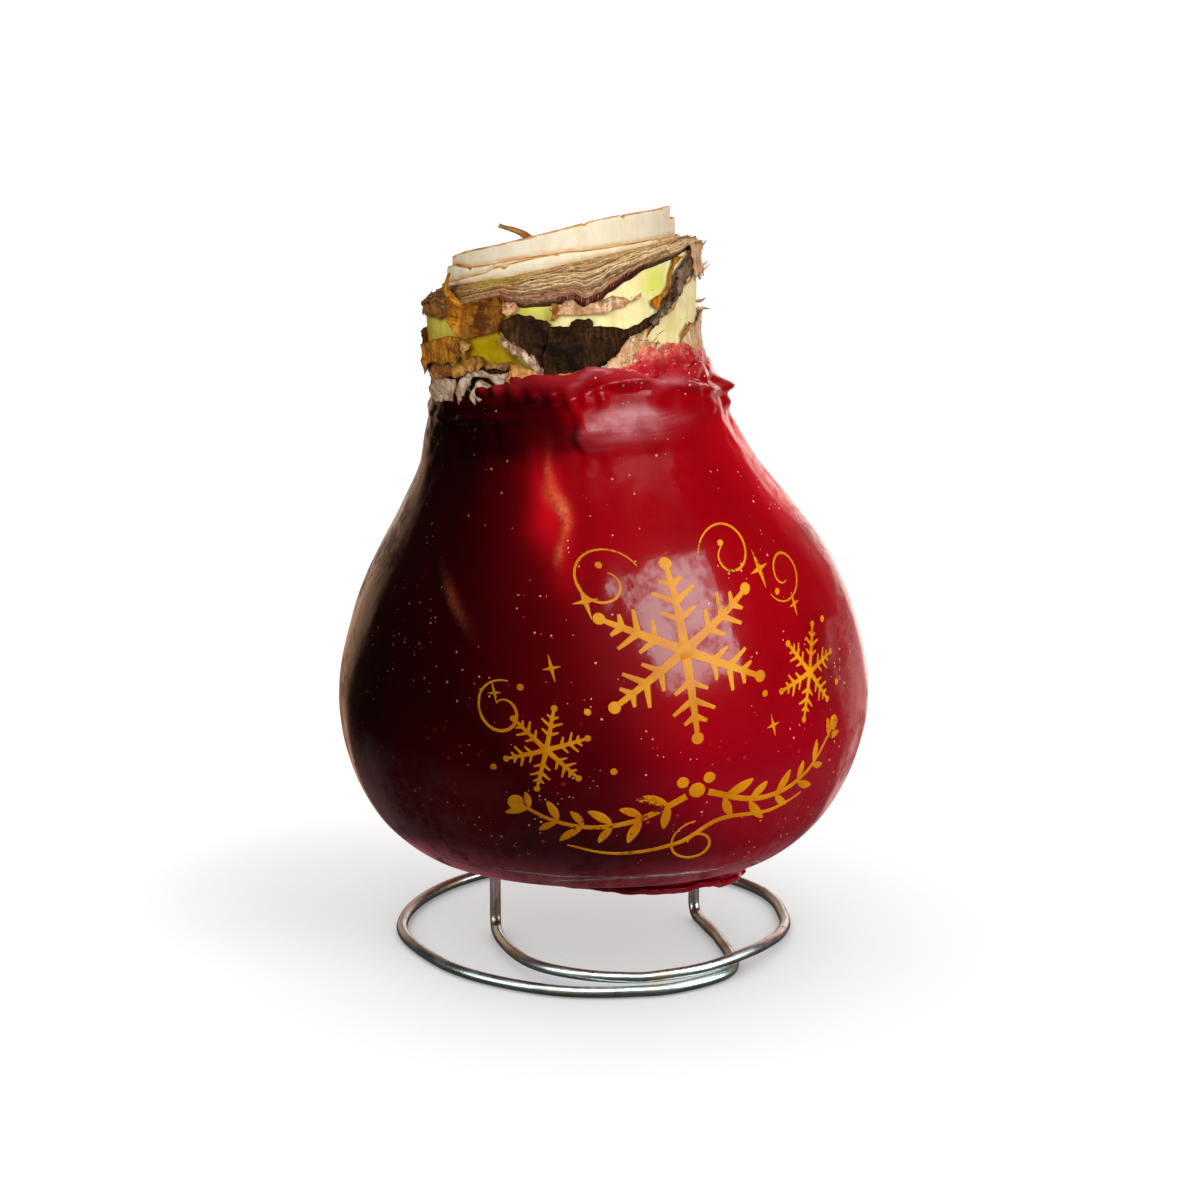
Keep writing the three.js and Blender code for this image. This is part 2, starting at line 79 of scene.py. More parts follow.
def make_camera():
    data = bpy.data.cameras.new("camera")
    data.sensor_width = 36
    data.lens = data.sensor_width * FOCAL_LENGTH_IN_PIXELS / IMAGE_WIDTH_IN_PIXELS
    camera = add_object("camera", data)
    back = Vector((0, -math.cos(CAMERA_ELEVATION), math.sin(CAMERA_ELEVATION)))
    camera.location = TARGET + back * CAMERA_DISTANCE
    camera.rotation_euler = (math.pi / 2 - CAMERA_ELEVATION, 0, 0)
    SCENE.camera = camera


make_camera()

# ---------------- forms shared with the CAD

BASE_HEIGHT = 17.2
BELLY_HEIGHT = 46
WAX_THICKNESS = 1.4
NECK_RADIUS = 23.8
NECK_FLATTENING = 0.1
SCALES_RADIUS = 21
SOCKET_FLOOR = 112
WAX_OUTLINE = [
    [26, 16.8], [26.5, 17.4], [25.8, 18.1], [25.2, 18.6], [27.4, 18.1], [30.2, 18.1], [34.6, 20],
    [41.4, 26], [45.9, 35], [47.7, 46], [45.9, 58], [41.6, 70], [35.6, 80], [29.4, 90],
    [26.6, 97], [25.8, 103], [25.6, 107],
]
# Every 30 degrees from the right over the back.
WAX_EDGE = [106.5, 106, 105.5, 105, 104.5, 103.5, 102.6, 103, 106.3, 109.3, 108.3, 107.6]
DIP_LINE = [103.2, 103.6, 104.2, 103.8, 102.6, 101.2, 99.8, 100.2, 101.6, 103.4, 104.6, 104.9]
# (degrees round the neck, mm under the cut) of each rim that shows below the cut.
MIDDLE_RIM = [
    (-178, 1.8), (-159, 1.9), (-141, 2.9), (-127, 3.2), (-116, 3.3), (-109, 3.5), (-102, 3.7), (-92, 4.1),
    (-86, 5), (-80, 5), (-70, 2.6), (-52, 2.4), (-19, 2.1), (40, 1.9), (120, 1.8),
]
OUTER_RIM = [
    (-163, 4.5), (-130, 4.5), (-122, 3.9), (-91, 4), (-76, 4.6), (-63, 4.9), (-46, 5.2), (-13, 5.6), (40, 5),
    (120, 4.6),
]
DRY_TOP = [(-160, 5.3), (-141, 5.6), (-130, 5.8), (-115, 6.2), (-80, 6.3), (-44, 6.2), (-3, 5.9), (90, 5.6)]
DRY_RIM = [
    (-168, 7.5), (-158, 7.8), (-143, 9.7), (-124, 9.5), (-116, 9.4), (-110, 10.7), (-104, 11.5), (-93, 12.1),
    (-85, 12.4), (-79, 13.9), (-74, 13.4), (-69, 12), (-61, 10.7), (-52, 9.4), (-36, 8.8), (-24, 7.8),
    (10, 8), (70, 8.2), (130, 7.9), (165, 8),
]
# The cut: its height at the neck's middle, and its slopes to the right and towards the front.
CUT_HEIGHT = 130.4
CUT_MIDDLE = -7.5
CUT_SLOPES = math.tan(math.radians(13)), math.tan(math.radians(11))


def ramp(value, low, high):
    """0 up to low and 1 from high, smooth between them."""
    share = np.clip((np.asarray(value, float) - low) / (high - low), 0, 1)
    return share * share * (3 - 2 * share)


def mix(low, high, share):
    return low + (high - low) * share


def bump(value, centre, width):
    """1 at the centre, fading over the width to both sides."""
    return np.exp(-(((np.asarray(value, float) - centre) / width) ** 2))


def window(value, low, full, still_full, high):
    """Rises from 0 at low to 1 at full, and falls again from still_full to 0 at high."""
    return ramp(value, low, full) * (1 - ramp(value, still_full, high))


def angle_from(angle, degrees):
    """Signed angle in degrees from a direction, from -180 to 180."""
    return (np.degrees(angle) - degrees + 180) % 360 - 180


def soft_spots(turn, height, *spots):
    """Adds up spots of (strength, degrees round the axis, width, height, how tall)."""
    return sum(
        strength * bump(turn, degrees, width) * bump(height, level, tall)
        for strength, degrees, width, level, tall in spots
    )


def bump_round(angle, degrees, width):
    """1 in one direction round the axis, and fading over that many degrees to both sides."""
    return bump(angle_from(angle, degrees), 0, width)


def around(values, angle):
    """A value for each angle from evenly spaced ones, with the first at the right."""
    values = np.asarray(values, float)
    place = (np.asarray(angle, float) / (2 * np.pi) % 1) * len(values)
    index = np.floor(place).astype(int) % len(values)
    share = ramp(place % 1, 0, 1)
    return mix(values[index], values[(index + 1) % len(values)], share)


def round_neck(knots, angle):
    """A value that runs smoothly round the neck through (degrees, value) knots."""
    degrees, values = np.array(sorted(knots), float).T
    degrees = np.concatenate([degrees[-1:] - 360, degrees, degrees[:1] + 360])
    values = np.concatenate([values[-1:], values, values[:1]])
    place = angle_from(angle, 0)
    after = np.clip(np.searchsorted(degrees, place), 1, len(degrees) - 1)
    share = ramp((place - degrees[after - 1]) / (degrees[after] - degrees[after - 1]), 0, 1)
    return mix(values[after - 1], values[after], share)


def smooth_run(knots, steps):
    """Points of a Catmull-Rom curve through knots."""
    knots = np.asarray(knots, float)
    last = len(knots) - 1
    made = []
    for i in range(last):
        before, here, there, after = knots[[max(i - 1, 0), i, i + 1, min(i + 2, last)]]
        for step in range(steps):
            t = step / steps
            bend = (there - here) * 3 - (there - before) - (after - here) / 2
            curl = (here - there) * 2 + (there - before) / 2 + (after - here) / 2
            made.append(here + (there - before) / 2 * t + bend * t**2 + curl * t**3)
    made.append(knots[-1])
    return np.array(made)


def neck_shift(height):
    return -7 * ramp(height, 70, 118)


def folds(angle, height):
    """The bulb's soft folds, in mm outwards."""
    strength = ramp(height, 22, 40) * (1 - ramp(height, 90, 104))
    return strength * (0.3 * np.sin(3 * angle + 1.1) + 0.22 * np.sin(7 * angle + 0.4 + height / 40))


def underside_rise(radius, angle, height):
    """How much the underside is raised at the front, and lowered towards the right, in mm."""
    is_under = 1 - ramp(height, 22, 26)
    slope = 0.12 * radius * np.cos(angle) * (1 - ramp(radius, 27, 31))
    hollow = ramp(radius, 26, 29) * (1 - ramp(radius, 32, 37))
    return is_under * (2.6 * hollow * bump(angle_from(angle, -90), 0, 40) - slope)


def body_point(radius, angle, height):
    """A place on or in the leaning bulb, as in the CAD."""
    out = radius + ramp(radius, 0, 20) * folds(angle, height)
    oval = 1 - NECK_FLATTENING * ramp(height, 75, 110)
    x = neck_shift(height) + out * np.cos(angle)
    y = out * np.sin(angle) * oval
    return np.stack([x, y, height + underside_rise(radius, angle, height)], -1)


def neck_point(radius, angle, height):
    """A place round the neck, which is a tenth narrower from front to back."""
    radius, angle, height = np.broadcast_arrays(radius, angle, height)
    x = neck_shift(height) + radius * np.cos(angle)
    return np.stack([x, radius * np.sin(angle) * (1 - NECK_FLATTENING), height], -1)


def cut_height(radius, angle):
    """Height of the slanting cut over a point of the neck."""
    foot = neck_point(radius, angle, CUT_HEIGHT)
    side_rise, front_rise = CUT_SLOPES
    return CUT_HEIGHT + side_rise * (foot[..., 0] - CUT_MIDDLE) - front_rise * foot[..., 1]


def roughness_at(points, scale, seed, octaves):
    """Smooth noise of about -1 to 1 at each point; scale is the width of its features."""
    points = np.asarray(points, float)
    places = (points / np.asarray(scale, float)).reshape(-1, 3) + np.array([13.7, 5.1, 9.3]) * seed
    values = [noise.fractal(Vector(p), 1, 2, octaves) for p in places]
    return np.array(values).reshape(points.shape[:-1])


def round_noise(angle, height, turns, scale, seed, octaves):
    """Noise that closes on itself round the axis, with about that many features in a turn."""
    reach = turns / (2 * np.pi)
    angle, height = np.broadcast_arrays(angle, height)
    points = np.stack([np.cos(angle) * reach, np.sin(angle) * reach, height / scale], -1)
    return roughness_at(points, 1, seed, octaves)


# ---------------- making meshes


def turned(profile, columns, place, ring=False):
    """Points, faces and [radius, angle, height] of a profile turned round the axis.

    The profile runs up the outside. A ring's profile closes on itself, and any other one is
    closed with a pole at each end.
    """
    profile = np.asarray(profile, float)
    rows = len(profile)
    angle = np.tile(np.arange(columns) / columns * 2 * np.pi, (rows, 1))
    radius = np.repeat(profile[:, :1], columns, 1)
    height = np.repeat(profile[:, 1:2], columns, 1)
    points = place(radius, angle, height)
    faces = []
    for i in range(rows if ring else rows - 1):
        low, high = i * columns, (i + 1) % rows * columns
        for j in range(columns):
            k = (j + 1) % columns
            faces.append((low + j, low + k, high + k, high + j))
    flat = points.reshape(-1, 3)
    told = np.stack([radius, angle, height], -1).reshape(-1, 3)
    if not ring:
        last = (rows - 1) * columns
        bottom, top = len(flat), len(flat) + 1
        flat = np.vstack([flat, points[0].mean(0), points[-1].mean(0)])
        told = np.vstack([told, [0, 0, profile[0, 1]], [0, 0, profile[-1, 1]]])
        for j in range(columns):
            k = (j + 1) % columns
            faces.append((bottom, k, j))
            faces.append((top, last + j, last + k))
    return flat, faces, told


def make_piece(name, points, faces, material, nodes, sharp):
    """A piece of the object as one mesh, in place, riding on the one body."""
    mesh = bpy.data.meshes.new(name)
    mesh.from_pydata((np.asarray(points) * MM).tolist(), [], faces)
    mesh.polygons.foreach_set("use_smooth", [True] * len(mesh.polygons))
    mesh.set_sharp_from_angle(angle=math.radians(sharp))
    mesh.materials.append(material)
    return settle(name, mesh, nodes)


def settle(name, mesh, nodes):
    """A mesh as a piece that rides the one body and the nodes that it replaces."""
    piece = add_object(name, mesh)
    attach(piece, "root")
    if nodes:
        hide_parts(*nodes)
    return piece


def paint(piece, name, values, most=None):
    """Stores a number at each point for the piece's material, held from 0 to most if that is given."""
    if most:
        values = np.clip(values, 0, most)
    layer = piece.data.attributes.new(name, "FLOAT", "POINT")
    layer.data.foreach_set("value", np.asarray(values, float))


def map_flat(piece, across, up):
    """A UV map of a piece in centimetres, across and up its surface."""
    layer = piece.data.uv_layers.new(name="surface")
    corners = np.empty(len(piece.data.loops), int)
    piece.data.loops.foreach_get("vertex_index", corners)
    places = np.stack([np.asarray(across)[corners], np.asarray(up)[corners]], -1) / 10
    layer.data.foreach_set("uv", places.ravel())


# ---------------- making materials


def feed(tree, socket, value):
    """Links an output to the socket, or sets the socket to a plain value."""
    if isinstance(value, bpy.types.NodeSocket):
        tree.links.new(value, socket)
    else:
        socket.default_value = value


def new_node(tree, kind, settings, inputs):
    """A node with its settings, and with inputs given as values or as other nodes' outputs."""
    node = tree.nodes.new(kind)
    for name, value in (settings or {}).items():
        setattr(node, name, value)
    for name, value in inputs.items():
        feed(tree, node.inputs[name.replace("_", " ")], value)
    return node


def add_node(tree, kind, settings=None, **inputs):
    """The outputs of a new shader node."""
    return new_node(tree, "ShaderNode" + kind, settings, inputs).outputs


def in_order(tree, kind, settings, *values):
    """The outputs of a new shader node whose inputs are fed in their order."""
    node = new_node(tree, "ShaderNode" + kind, settings, {})
    for socket, value in zip(node.inputs, values):
        feed(tree, socket, value)
    return node.outputs


def calculate(tree, operation, *values):
    return in_order(tree, "Math", {"operation": operation}, *values)[0]


def times(tree, first, second):
    return calculate(tree, "MULTIPLY", first, second)


def plus(tree, first, second):
    return calculate(tree, "ADD", first, second)


def times_plus(tree, value, factor, added):
    return calculate(tree, "MULTIPLY_ADD", value, factor, added)


def vector_math(tree, operation, *values):
    return in_order(tree, "VectorMath", {"operation": operation}, *values)


def combined(tree, **axes):
    return add_node(tree, "CombineXYZ", None, **axes)[0]


def between(tree, value, low, high, to_low=0.0, to_high=1.0):
    """value from low..high to to_low..to_high, smooth and held at its ends."""
    limits = {"From Min": low, "From Max": high, "To Min": to_low, "To Max": to_high}
    return add_node(tree, "MapRange", {"interpolation_type": "SMOOTHSTEP"}, Value=value, **limits)["Result"]


def blend(tree, share, first, second):
    node = new_node(tree, "ShaderNodeMix", {"data_type": "RGBA"}, {})
    for index, value in ((0, share), (6, first), (7, second)):
        feed(tree, node.inputs[index], (*value, 1) if isinstance(value, tuple) else value)
    return node.outputs[2]


def tinted(tree, colour, *layers):
    """The colour under layers, each of them a share, or the name of a painted one, and a colour."""
    for share, tint in layers:
        if isinstance(share, str):
            share = painted(tree, share)
        colour = blend(tree, share, colour, tint)
    return colour


def stretched(tree, vector, scale, turn=0.0):
    settings = {"vector_type": "POINT"}
    return add_node(tree, "Mapping", settings, Vector=vector, Scale=scale, Rotation=(0, 0, turn))[0]


def object_place(tree):
    return add_node(tree, "TexCoord")["Object"]


def surface_place(tree):
    return add_node(tree, "UVMap", {"uv_map": "surface"})[0]


def painted(tree, name):
    return add_node(tree, "Attribute", {"attribute_name": name})["Fac"]


def mottle(tree, vector, scale, detail, rough=0.55):
    return add_node(tree, "TexNoise", None, Vector=vector, Scale=scale, Detail=detail, Roughness=rough)[0]


def new_material(name):
    material = bpy.data.materials.new(name)
    material.use_nodes = True
    tree = material.node_tree
    return material, tree, tree.nodes["Principled BSDF"]


def join_up(tree, shader, colour=None, roughness=None, height=None, strength=0.0, depth=0.0, **others):
    """Feeds a material's own Principled shader, with a bump map where a height is given."""
    if colour is not None:
        others.update({"Base Color": colour, "Roughness": roughness})
    if height is not None:
        relief = add_node(tree, "Bump", None, Strength=strength, Distance=depth, Height=height)
        others["Normal"] = relief[0]
    for name, value in others.items():
        feed(tree, shader.inputs[name.replace("_", " ")], value)


def new_group(kind, name, inputs, outputs):
    """An empty node group, with its sockets given as names and their kinds."""
    tree = bpy.data.node_groups.new(name, kind)
    for way, sockets in (("INPUT", inputs), ("OUTPUT", outputs)):
        for label, sort in sockets.items():
            tree.interface.new_socket(name=label, in_out=way, socket_type="NodeSocket" + sort)
    return tree, tree.nodes.new("NodeGroupInput").outputs, tree.nodes.new("NodeGroupOutput").inputs


def use_group(tree, group, **inputs):
    return add_node(tree, "Group", {"node_tree": group}, **inputs)


def move_by(tree, vector, noise_scale, amount):
    """The vector, pushed about by a slow noise so that a pattern on it isn't straight."""
    push = add_node(tree, "TexNoise", None, Vector=vector, Scale=noise_scale, Detail=2.0)["Color"]
    return vector_math(tree, "MULTIPLY_ADD", push, (amount, amount, amount), vector)[0]


def make_papery_group():
    """Dry plant skin: wavering veins along it, crumple creases across it and blotches."""
    tree, given, result = new_group(
        "ShaderNodeTree", "papery_skin", {"Place": "Vector", "Veins": "Float", "Creases": "Float"},
        {"Tone": "Float", "Blotch": "Float", "Fold": "Float", "Height": "Float"},
    )
    place = move_by(tree, given["Place"], 3.0, 0.16)
    vein_place = vector_math(tree, "MULTIPLY", place, combined(tree, X=given["Veins"], Y=1.0, Z=1.0))[0]
    veins = mottle(tree, vein_place, 1.7, 4, 0.62)
    crease_place = vector_math(tree, "MULTIPLY", place, combined(tree, X=1.3, Y=given["Creases"], Z=1.0))[0]
    fold = between(tree, mottle(tree, crease_place, 2.1, 4, 0.68), 0.44, 0.36)
    patchy = mottle(tree, given["Place"], 5.0, 2)
    fold = times(tree, fold, between(tree, patchy, 0.42, 0.58))
    blotch = mottle(tree, given["Place"], 3.4, 5, 0.62)
    raised = plus(tree, times(tree, veins, 0.7), times(tree, fold, -0.5))
    fine = mottle(tree, given["Place"], 24.0, 3, 0.65)
    tone = times_plus(tree, calculate(tree, "SUBTRACT", fine, 0.5), 0.5, veins)
    feed(tree, result["Tone"], between(tree, tone, 0.39, 0.61))
    feed(tree, result["Blotch"], between(tree, blotch, 0.42, 0.6))
    feed(tree, result["Fold"], fold)
    feed(tree, result["Height"], plus(tree, raised, times(tree, blotch, 0.8)))
    return tree


def make_speck_group():
    """Sparse tiny specks, in clusters."""
    tree, given, result = new_group(
        "ShaderNodeTree", "specks", {"Place": "Vector", "Scale": "Float", "Size": "Float", "Share": "Float"},
        {"Mask": "Float"},
    )
    cells = add_node(tree, "TexVoronoi", None, Vector=given["Place"], Scale=given["Scale"])
    chances = add_node(tree, "SeparateColor", None, Color=cells["Color"])
    size = times(tree, given["Size"], times_plus(tree, chances[1], 0.9, 0.35))
    near = calculate(tree, "LESS_THAN", cells["Distance"], size)
    cluster = mottle(tree, given["Place"], 90, 3)
    open_here = times(tree, between(tree, cluster, 0.46, 0.7), given["Share"])
    feed(tree, result["Mask"], times(tree, near, calculate(tree, "LESS_THAN", chances[0], open_here)))
    return tree


PAPERY = make_papery_group()
SPECKS = make_speck_group()
WAX_RED = (0.39, 0.0009, 0.005)


def speck_mask(tree, place, scale, size, share):
    return use_group(tree, SPECKS, Place=place, Scale=scale, Size=size, Share=share)["Mask"]


def make_wax_material():
    material, tree, shader = new_material("dipped_wax")
    place = object_place(tree)
    cloud = mottle(tree, stretched(tree, place, (1, 1, 0.35)), 46, 4)
    colour = blend(tree, between(tree, cloud, 0.35, 0.68), (0.31, 0.0006, 0.004), WAX_RED)
    grain = mottle(tree, place, 1500, 4, 0.7)
    # The ridges' orange glow is a painted highlight, broken up by fine grain.
    ridge = times(tree, painted(tree, "glow"), between(tree, grain, 0.32, 0.6, 0.35, 1.0))
    red = speck_mask(tree, stretched(tree, place, (1.1, 1.1, 1.1), 1.3), 640.0, 0.22, 0.6)
    gold = speck_mask(tree, place, 1050.0, 0.2, 0.42)
    brush = mottle(tree, stretched(tree, move_by(tree, place, 30, 0.004), (90, 90, 1500)), 1.0, 4)
    # Pale scuffs, streaked by the brush lines: partly wear, partly painted highlight.
    scuffs_and_highlight = times(tree, painted(tree, "scuffs_and_highlight"), between(tree, brush, 0.35, 0.6, 0.45, 1.0))
    # Over the wax's own tones: a bluer red low down, painted shade (deep), painted highlights (bright), a
    # painted orange glow on the ridges, a lighter thin rim, specks, and pale scuffs that are partly painted
    # highlight.
    colour = tinted(
        tree, colour,
        ("low", (0.4, 0.0012, 0.014)), ("deep", (0.04, 0.0006, 0.0022)), ("bright", (0.72, 0.004, 0.012)),
        (ridge, (0.86, 0.2, 0.07)), ("thin", (0.5, 0.02, 0.03)),
        (times(tree, red, painted(tree, "low")), (0.75, 0.012, 0.02)), (gold, (0.82, 0.42, 0.24)),
        (scuffs_and_highlight, (0.66, 0.24, 0.28)),
    )
    haze = plus(tree, mottle(tree, place, 85, 6, 0.72), times(tree, mottle(tree, place, 700, 3), 0.3))
    brushed = painted(tree, "brushed")
    peel = plus(tree, mottle(tree, place, 240, 3), times(tree, times(tree, brush, brushed), 1.5))
    peel = plus(tree, peel, times(tree, gold, 2.0))
    dull = between(tree, haze, 0.5, 0.8, 0.25, 0.4)
    join_up(tree, shader, colour, dull, peel, 0.2, 0.00025, IOR=1.45, Specular_IOR_Level=0.05)
    worn = between(tree, haze, 0.6, 0.76, 1.0, 0.3)
    rubbed = times(tree, brushed, between(tree, brush, 0.4, 0.6))
    gloss = times(tree, painted(tree, "gloss"), times_plus(tree, rubbed, -0.3, worn))
    relief = shader.inputs["Normal"].links[0].from_socket
    join_up(tree, shader, Coat_Weight=gloss, Coat_Normal=relief, Coat_Roughness=0.1, Coat_IOR=1.45)
    return material


def make_gold_material():
    material, tree, shader = new_material("worn_gold_print")
    place = object_place(tree)
    tone = mottle(tree, place, 120, 4, 0.6)
    colour = blend(tree, between(tree, tone, 0.35, 0.65), (0.7, 0.225, 0.0015), (0.88, 0.36, 0.004))
    worn = mottle(tree, place, 420, 5, 0.7)
    region = mottle(tree, place, 42, 2)
    wear = times(tree, between(tree, worn, 0.55, 0.6), between(tree, region, 0.5, 0.62))
    colour = blend(tree, wear, colour, (0.2, 0.006, 0.008))
    dull = between(tree, tone, 0.3, 0.7, 0.35, 0.5)
    join_up(tree, shader, colour, dull, tone, 0.3, 0.0001, Specular_IOR_Level=0.25)
    return material


def make_ivory_material():
    material, tree, shader = new_material("ivory_scale_flesh")
    place = surface_place(tree)
    streak = mottle(tree, stretched(tree, move_by(tree, place, 2.0, 0.2), (5, 0.6, 1)), 2.4, 4, 0.6)
    cloud = mottle(tree, place, 1.7, 4)
    colour = blend(tree, between(tree, streak, 0.3, 0.75), (0.72, 0.65, 0.5), (0.66, 0.56, 0.38))
    uneven = mottle(tree, stretched(tree, place, (1, 2.5, 1)), 4.5, 4)
    low = times(tree, painted(tree, "low"), between(tree, uneven, 0.25, 0.6, 0.1, 0.8))
    ragged = plus(tree, painted(tree, "rim"), times(tree, uneven, 0.9))
    spots = between(tree, mottle(tree, place, 9, 2), 0.73, 0.77)
    colour = tinted(
        tree, colour,
        (between(tree, cloud, 0.5, 0.72, 0, 0.5), (0.7, 0.54, 0.3)), (low, (0.5, 0.27, 0.09)),
        (between(tree, ragged, 1.08, 1.34), (0.46, 0.22, 0.065)),
        (between(tree, ragged, 1.42, 1.54), (0.2, 0.07, 0.016)), (spots, (0.5, 0.2, 0.06)),
    )
    dull = between(tree, cloud, 0.3, 0.7, 0.4, 0.55)
    join_up(tree, shader, colour, dull, streak, 0.2, 0.0002, Specular_IOR_Level=0.15)
    join_up(tree, shader, Subsurface_Weight=0.3, Subsurface_Scale=0.002, Subsurface_Radius=(1.0, 0.6, 0.3))
    return material


def make_living_material():
    material, tree, shader = new_material("living_green_scale")
    place = surface_place(tree)
    veins = mottle(tree, stretched(tree, move_by(tree, place, 2.0, 0.2), (10, 0.6, 1)), 2.2, 3)
    cloud = mottle(tree, place, 2.2, 4)
    tone = between(tree, times_plus(tree, cloud, 3.0, veins), 1.5, 2.5)
    olive = blend(tree, tone, (0.26, 0.15, 0.0008), (0.4, 0.265, 0.002))
    pale = blend(tree, tone, (0.78, 0.65, 0.29), (0.85, 0.78, 0.42))
    browned = times(tree, between(tree, cloud, 0.54, 0.68), 0.25)
    spots = between(tree, mottle(tree, place, 11, 1), 0.76, 0.78)
    colour = tinted(
        tree, olive,
        ("pale", pale), ("lime", (0.62, 0.66, 0.08)), (browned, (0.5, 0.28, 0.05)),
        ("shade", (0.07, 0.026, 0.005)), (spots, (0.06, 0.03, 0.01)),
    )
    dull = between(tree, cloud, 0.3, 0.7, 0.36, 0.5)
    join_up(tree, shader, colour, dull, cloud, 0.15, 0.0002, Specular_IOR_Level=0.06)
    join_up(tree, shader, Subsurface_Weight=0.2, Subsurface_Scale=0.002, Subsurface_Radius=(1.0, 0.9, 0.2))
    return material


def make_skin_material(name, dark, light, tint, burnt, rough, veins, creases, depth, shine):
    """Torn dry skin: dark to light along its veins, tint in its blotches, and burnt at its worst."""
    material, tree, shader = new_material(name)
    parts = use_group(tree, PAPERY, Place=surface_place(tree), Veins=veins, Creases=creases)
    colour = blend(tree, parts["Tone"], dark, light)
    patchy = times_plus(tree, parts["Blotch"], 0.7, 0.35)
    patchy = times_plus(tree, parts["Tone"], 0.5, patchy)
    scorched = calculate(tree, "MINIMUM", times(tree, painted(tree, "burnt"), patchy), 1.0)
    marked = calculate(tree, "MAXIMUM", scorched, times(tree, parts["Fold"], 0.6))
    marked = calculate(tree, "MAXIMUM", marked, times(tree, painted(tree, "edge"), 0.75))
    colour = tinted(tree, colour, (times(tree, parts["Blotch"], 0.75), tint), (marked, burnt))
    dull = between(tree, parts["Blotch"], 0, 1, rough - 0.08, rough + 0.12)
    join_up(tree, shader, colour, dull, parts["Height"], 0.8, depth, Specular_IOR_Level=shine)
    return material


def make_stack_material():
    material, tree, shader = new_material("dried_scale_edges")
    waved = move_by(tree, surface_place(tree), 1.6, 0.12)
    lines = mottle(tree, stretched(tree, waved, (0.9, 9, 1)), 2.6, 6, 0.75)
    fibres = mottle(tree, stretched(tree, waved, (16, 2, 1)), 2.2, 3, 0.6)
    flecks = mottle(tree, stretched(tree, waved, (2.4, 6, 1)), 4.2, 6, 0.75)
    cracks = mottle(tree, stretched(tree, waved, (2, 8, 1), 0.06), 4.0, 5, 0.75)
    layer = mottle(tree, combined(tree, X=painted(tree, "layer"), Y=0.3), 11.0, 1)
    colour = blend(tree, between(tree, layer, 0.38, 0.62), (0.32, 0.135, 0.03), (0.58, 0.35, 0.14))
    bright = times_plus(tree, painted(tree, "cream"), 0.7, 0.25)
    bright = times(tree, bright, between(tree, flecks, 0.5, 0.58))
    streak = times_plus(tree, lines, -3.0, 1.5)
    maroon = between(tree, plus(tree, painted(tree, "maroon"), streak), 0.45, 0.95)
    ruddy = blend(tree, between(tree, fibres, 0.5, 0.62), (0.13, 0.022, 0.014), (0.42, 0.2, 0.13))
    colour = tinted(
        tree, colour,
        ("olive", (0.4, 0.26, 0.02)), ("cream", (0.8, 0.53, 0.25)), ("rosy", (0.3, 0.12, 0.065)),
        ("dim", (0.17, 0.06, 0.01)), (bright, (0.92, 0.72, 0.45)),
        (between(tree, fibres, 0.54, 0.66, 0, 0.4), (0.3, 0.11, 0.03)),
        (between(tree, lines, 0.45, 0.39, 0, 0.7), (0.21, 0.08, 0.02)),
        (between(tree, cracks, 0.4, 0.35, 0, 0.95), (0.03, 0.01, 0.003)),
        (maroon, ruddy), ("crevice_shade", (0.05, 0.017, 0.006)),
    )
    height = plus(tree, lines, times(tree, flecks, 0.9))
    height = plus(tree, height, times(tree, between(tree, cracks, 0.34, 0.42), 0.5))
    height = plus(tree, height, times(tree, fibres, 0.5))
    join_up(tree, shader, colour, 0.62, height, 0.9, 0.0005, Specular_IOR_Level=0.03)
    return material


def make_steel_material():
    material, tree, shader = new_material("drawn_steel_wire")
    place = combined(tree, X=painted(tree, "along"), Y=painted(tree, "across"))
    drawn = mottle(tree, stretched(tree, place, (60, 14, 1)), 1.0, 3)
    # Amber patches at random over the wire, which also vary its roughness.
    amber_patches = mottle(tree, object_place(tree), 150, 4, 0.6)
    colour = blend(tree, between(tree, drawn, 0.35, 0.65), (0.36, 0.44, 0.43), (0.6, 0.7, 0.69))
    colour = tinted(
        tree, colour,
        (between(tree, amber_patches, 0.5, 0.62, 0, 0.7), (0.42, 0.31, 0.12)),
        (speck_mask(tree, object_place(tree), 640.0, 0.2, 0.6), (0.12, 0.015, 0.012)),
    )
    dull = between(tree, amber_patches, 0.3, 0.7, 0.26, 0.4)
    join_up(tree, shader, colour, dull, drawn, 0.15, 0.0001, Metallic=1.0)
    return material


def make_crumb_material():
    material, tree, shader = new_material("wax_crumbs")
    tone = mottle(tree, object_place(tree), 700, 0)
    colour = blend(tree, between(tree, tone, 0.45, 0.6), (0.42, 0.01, 0.012), (0.72, 0.3, 0.16))
    join_up(tree, shader, colour, between(tree, tone, 0.3, 0.7, 0.25, 0.5))
    return material


def make_fibre_material(name, first, second):
    material, tree, shader = new_material(name)
    tone = mottle(tree, object_place(tree), 500, 2)
    join_up(tree, shader, blend(tree, between(tree, tone, 0.4, 0.6), first, second), 0.5)
    return material


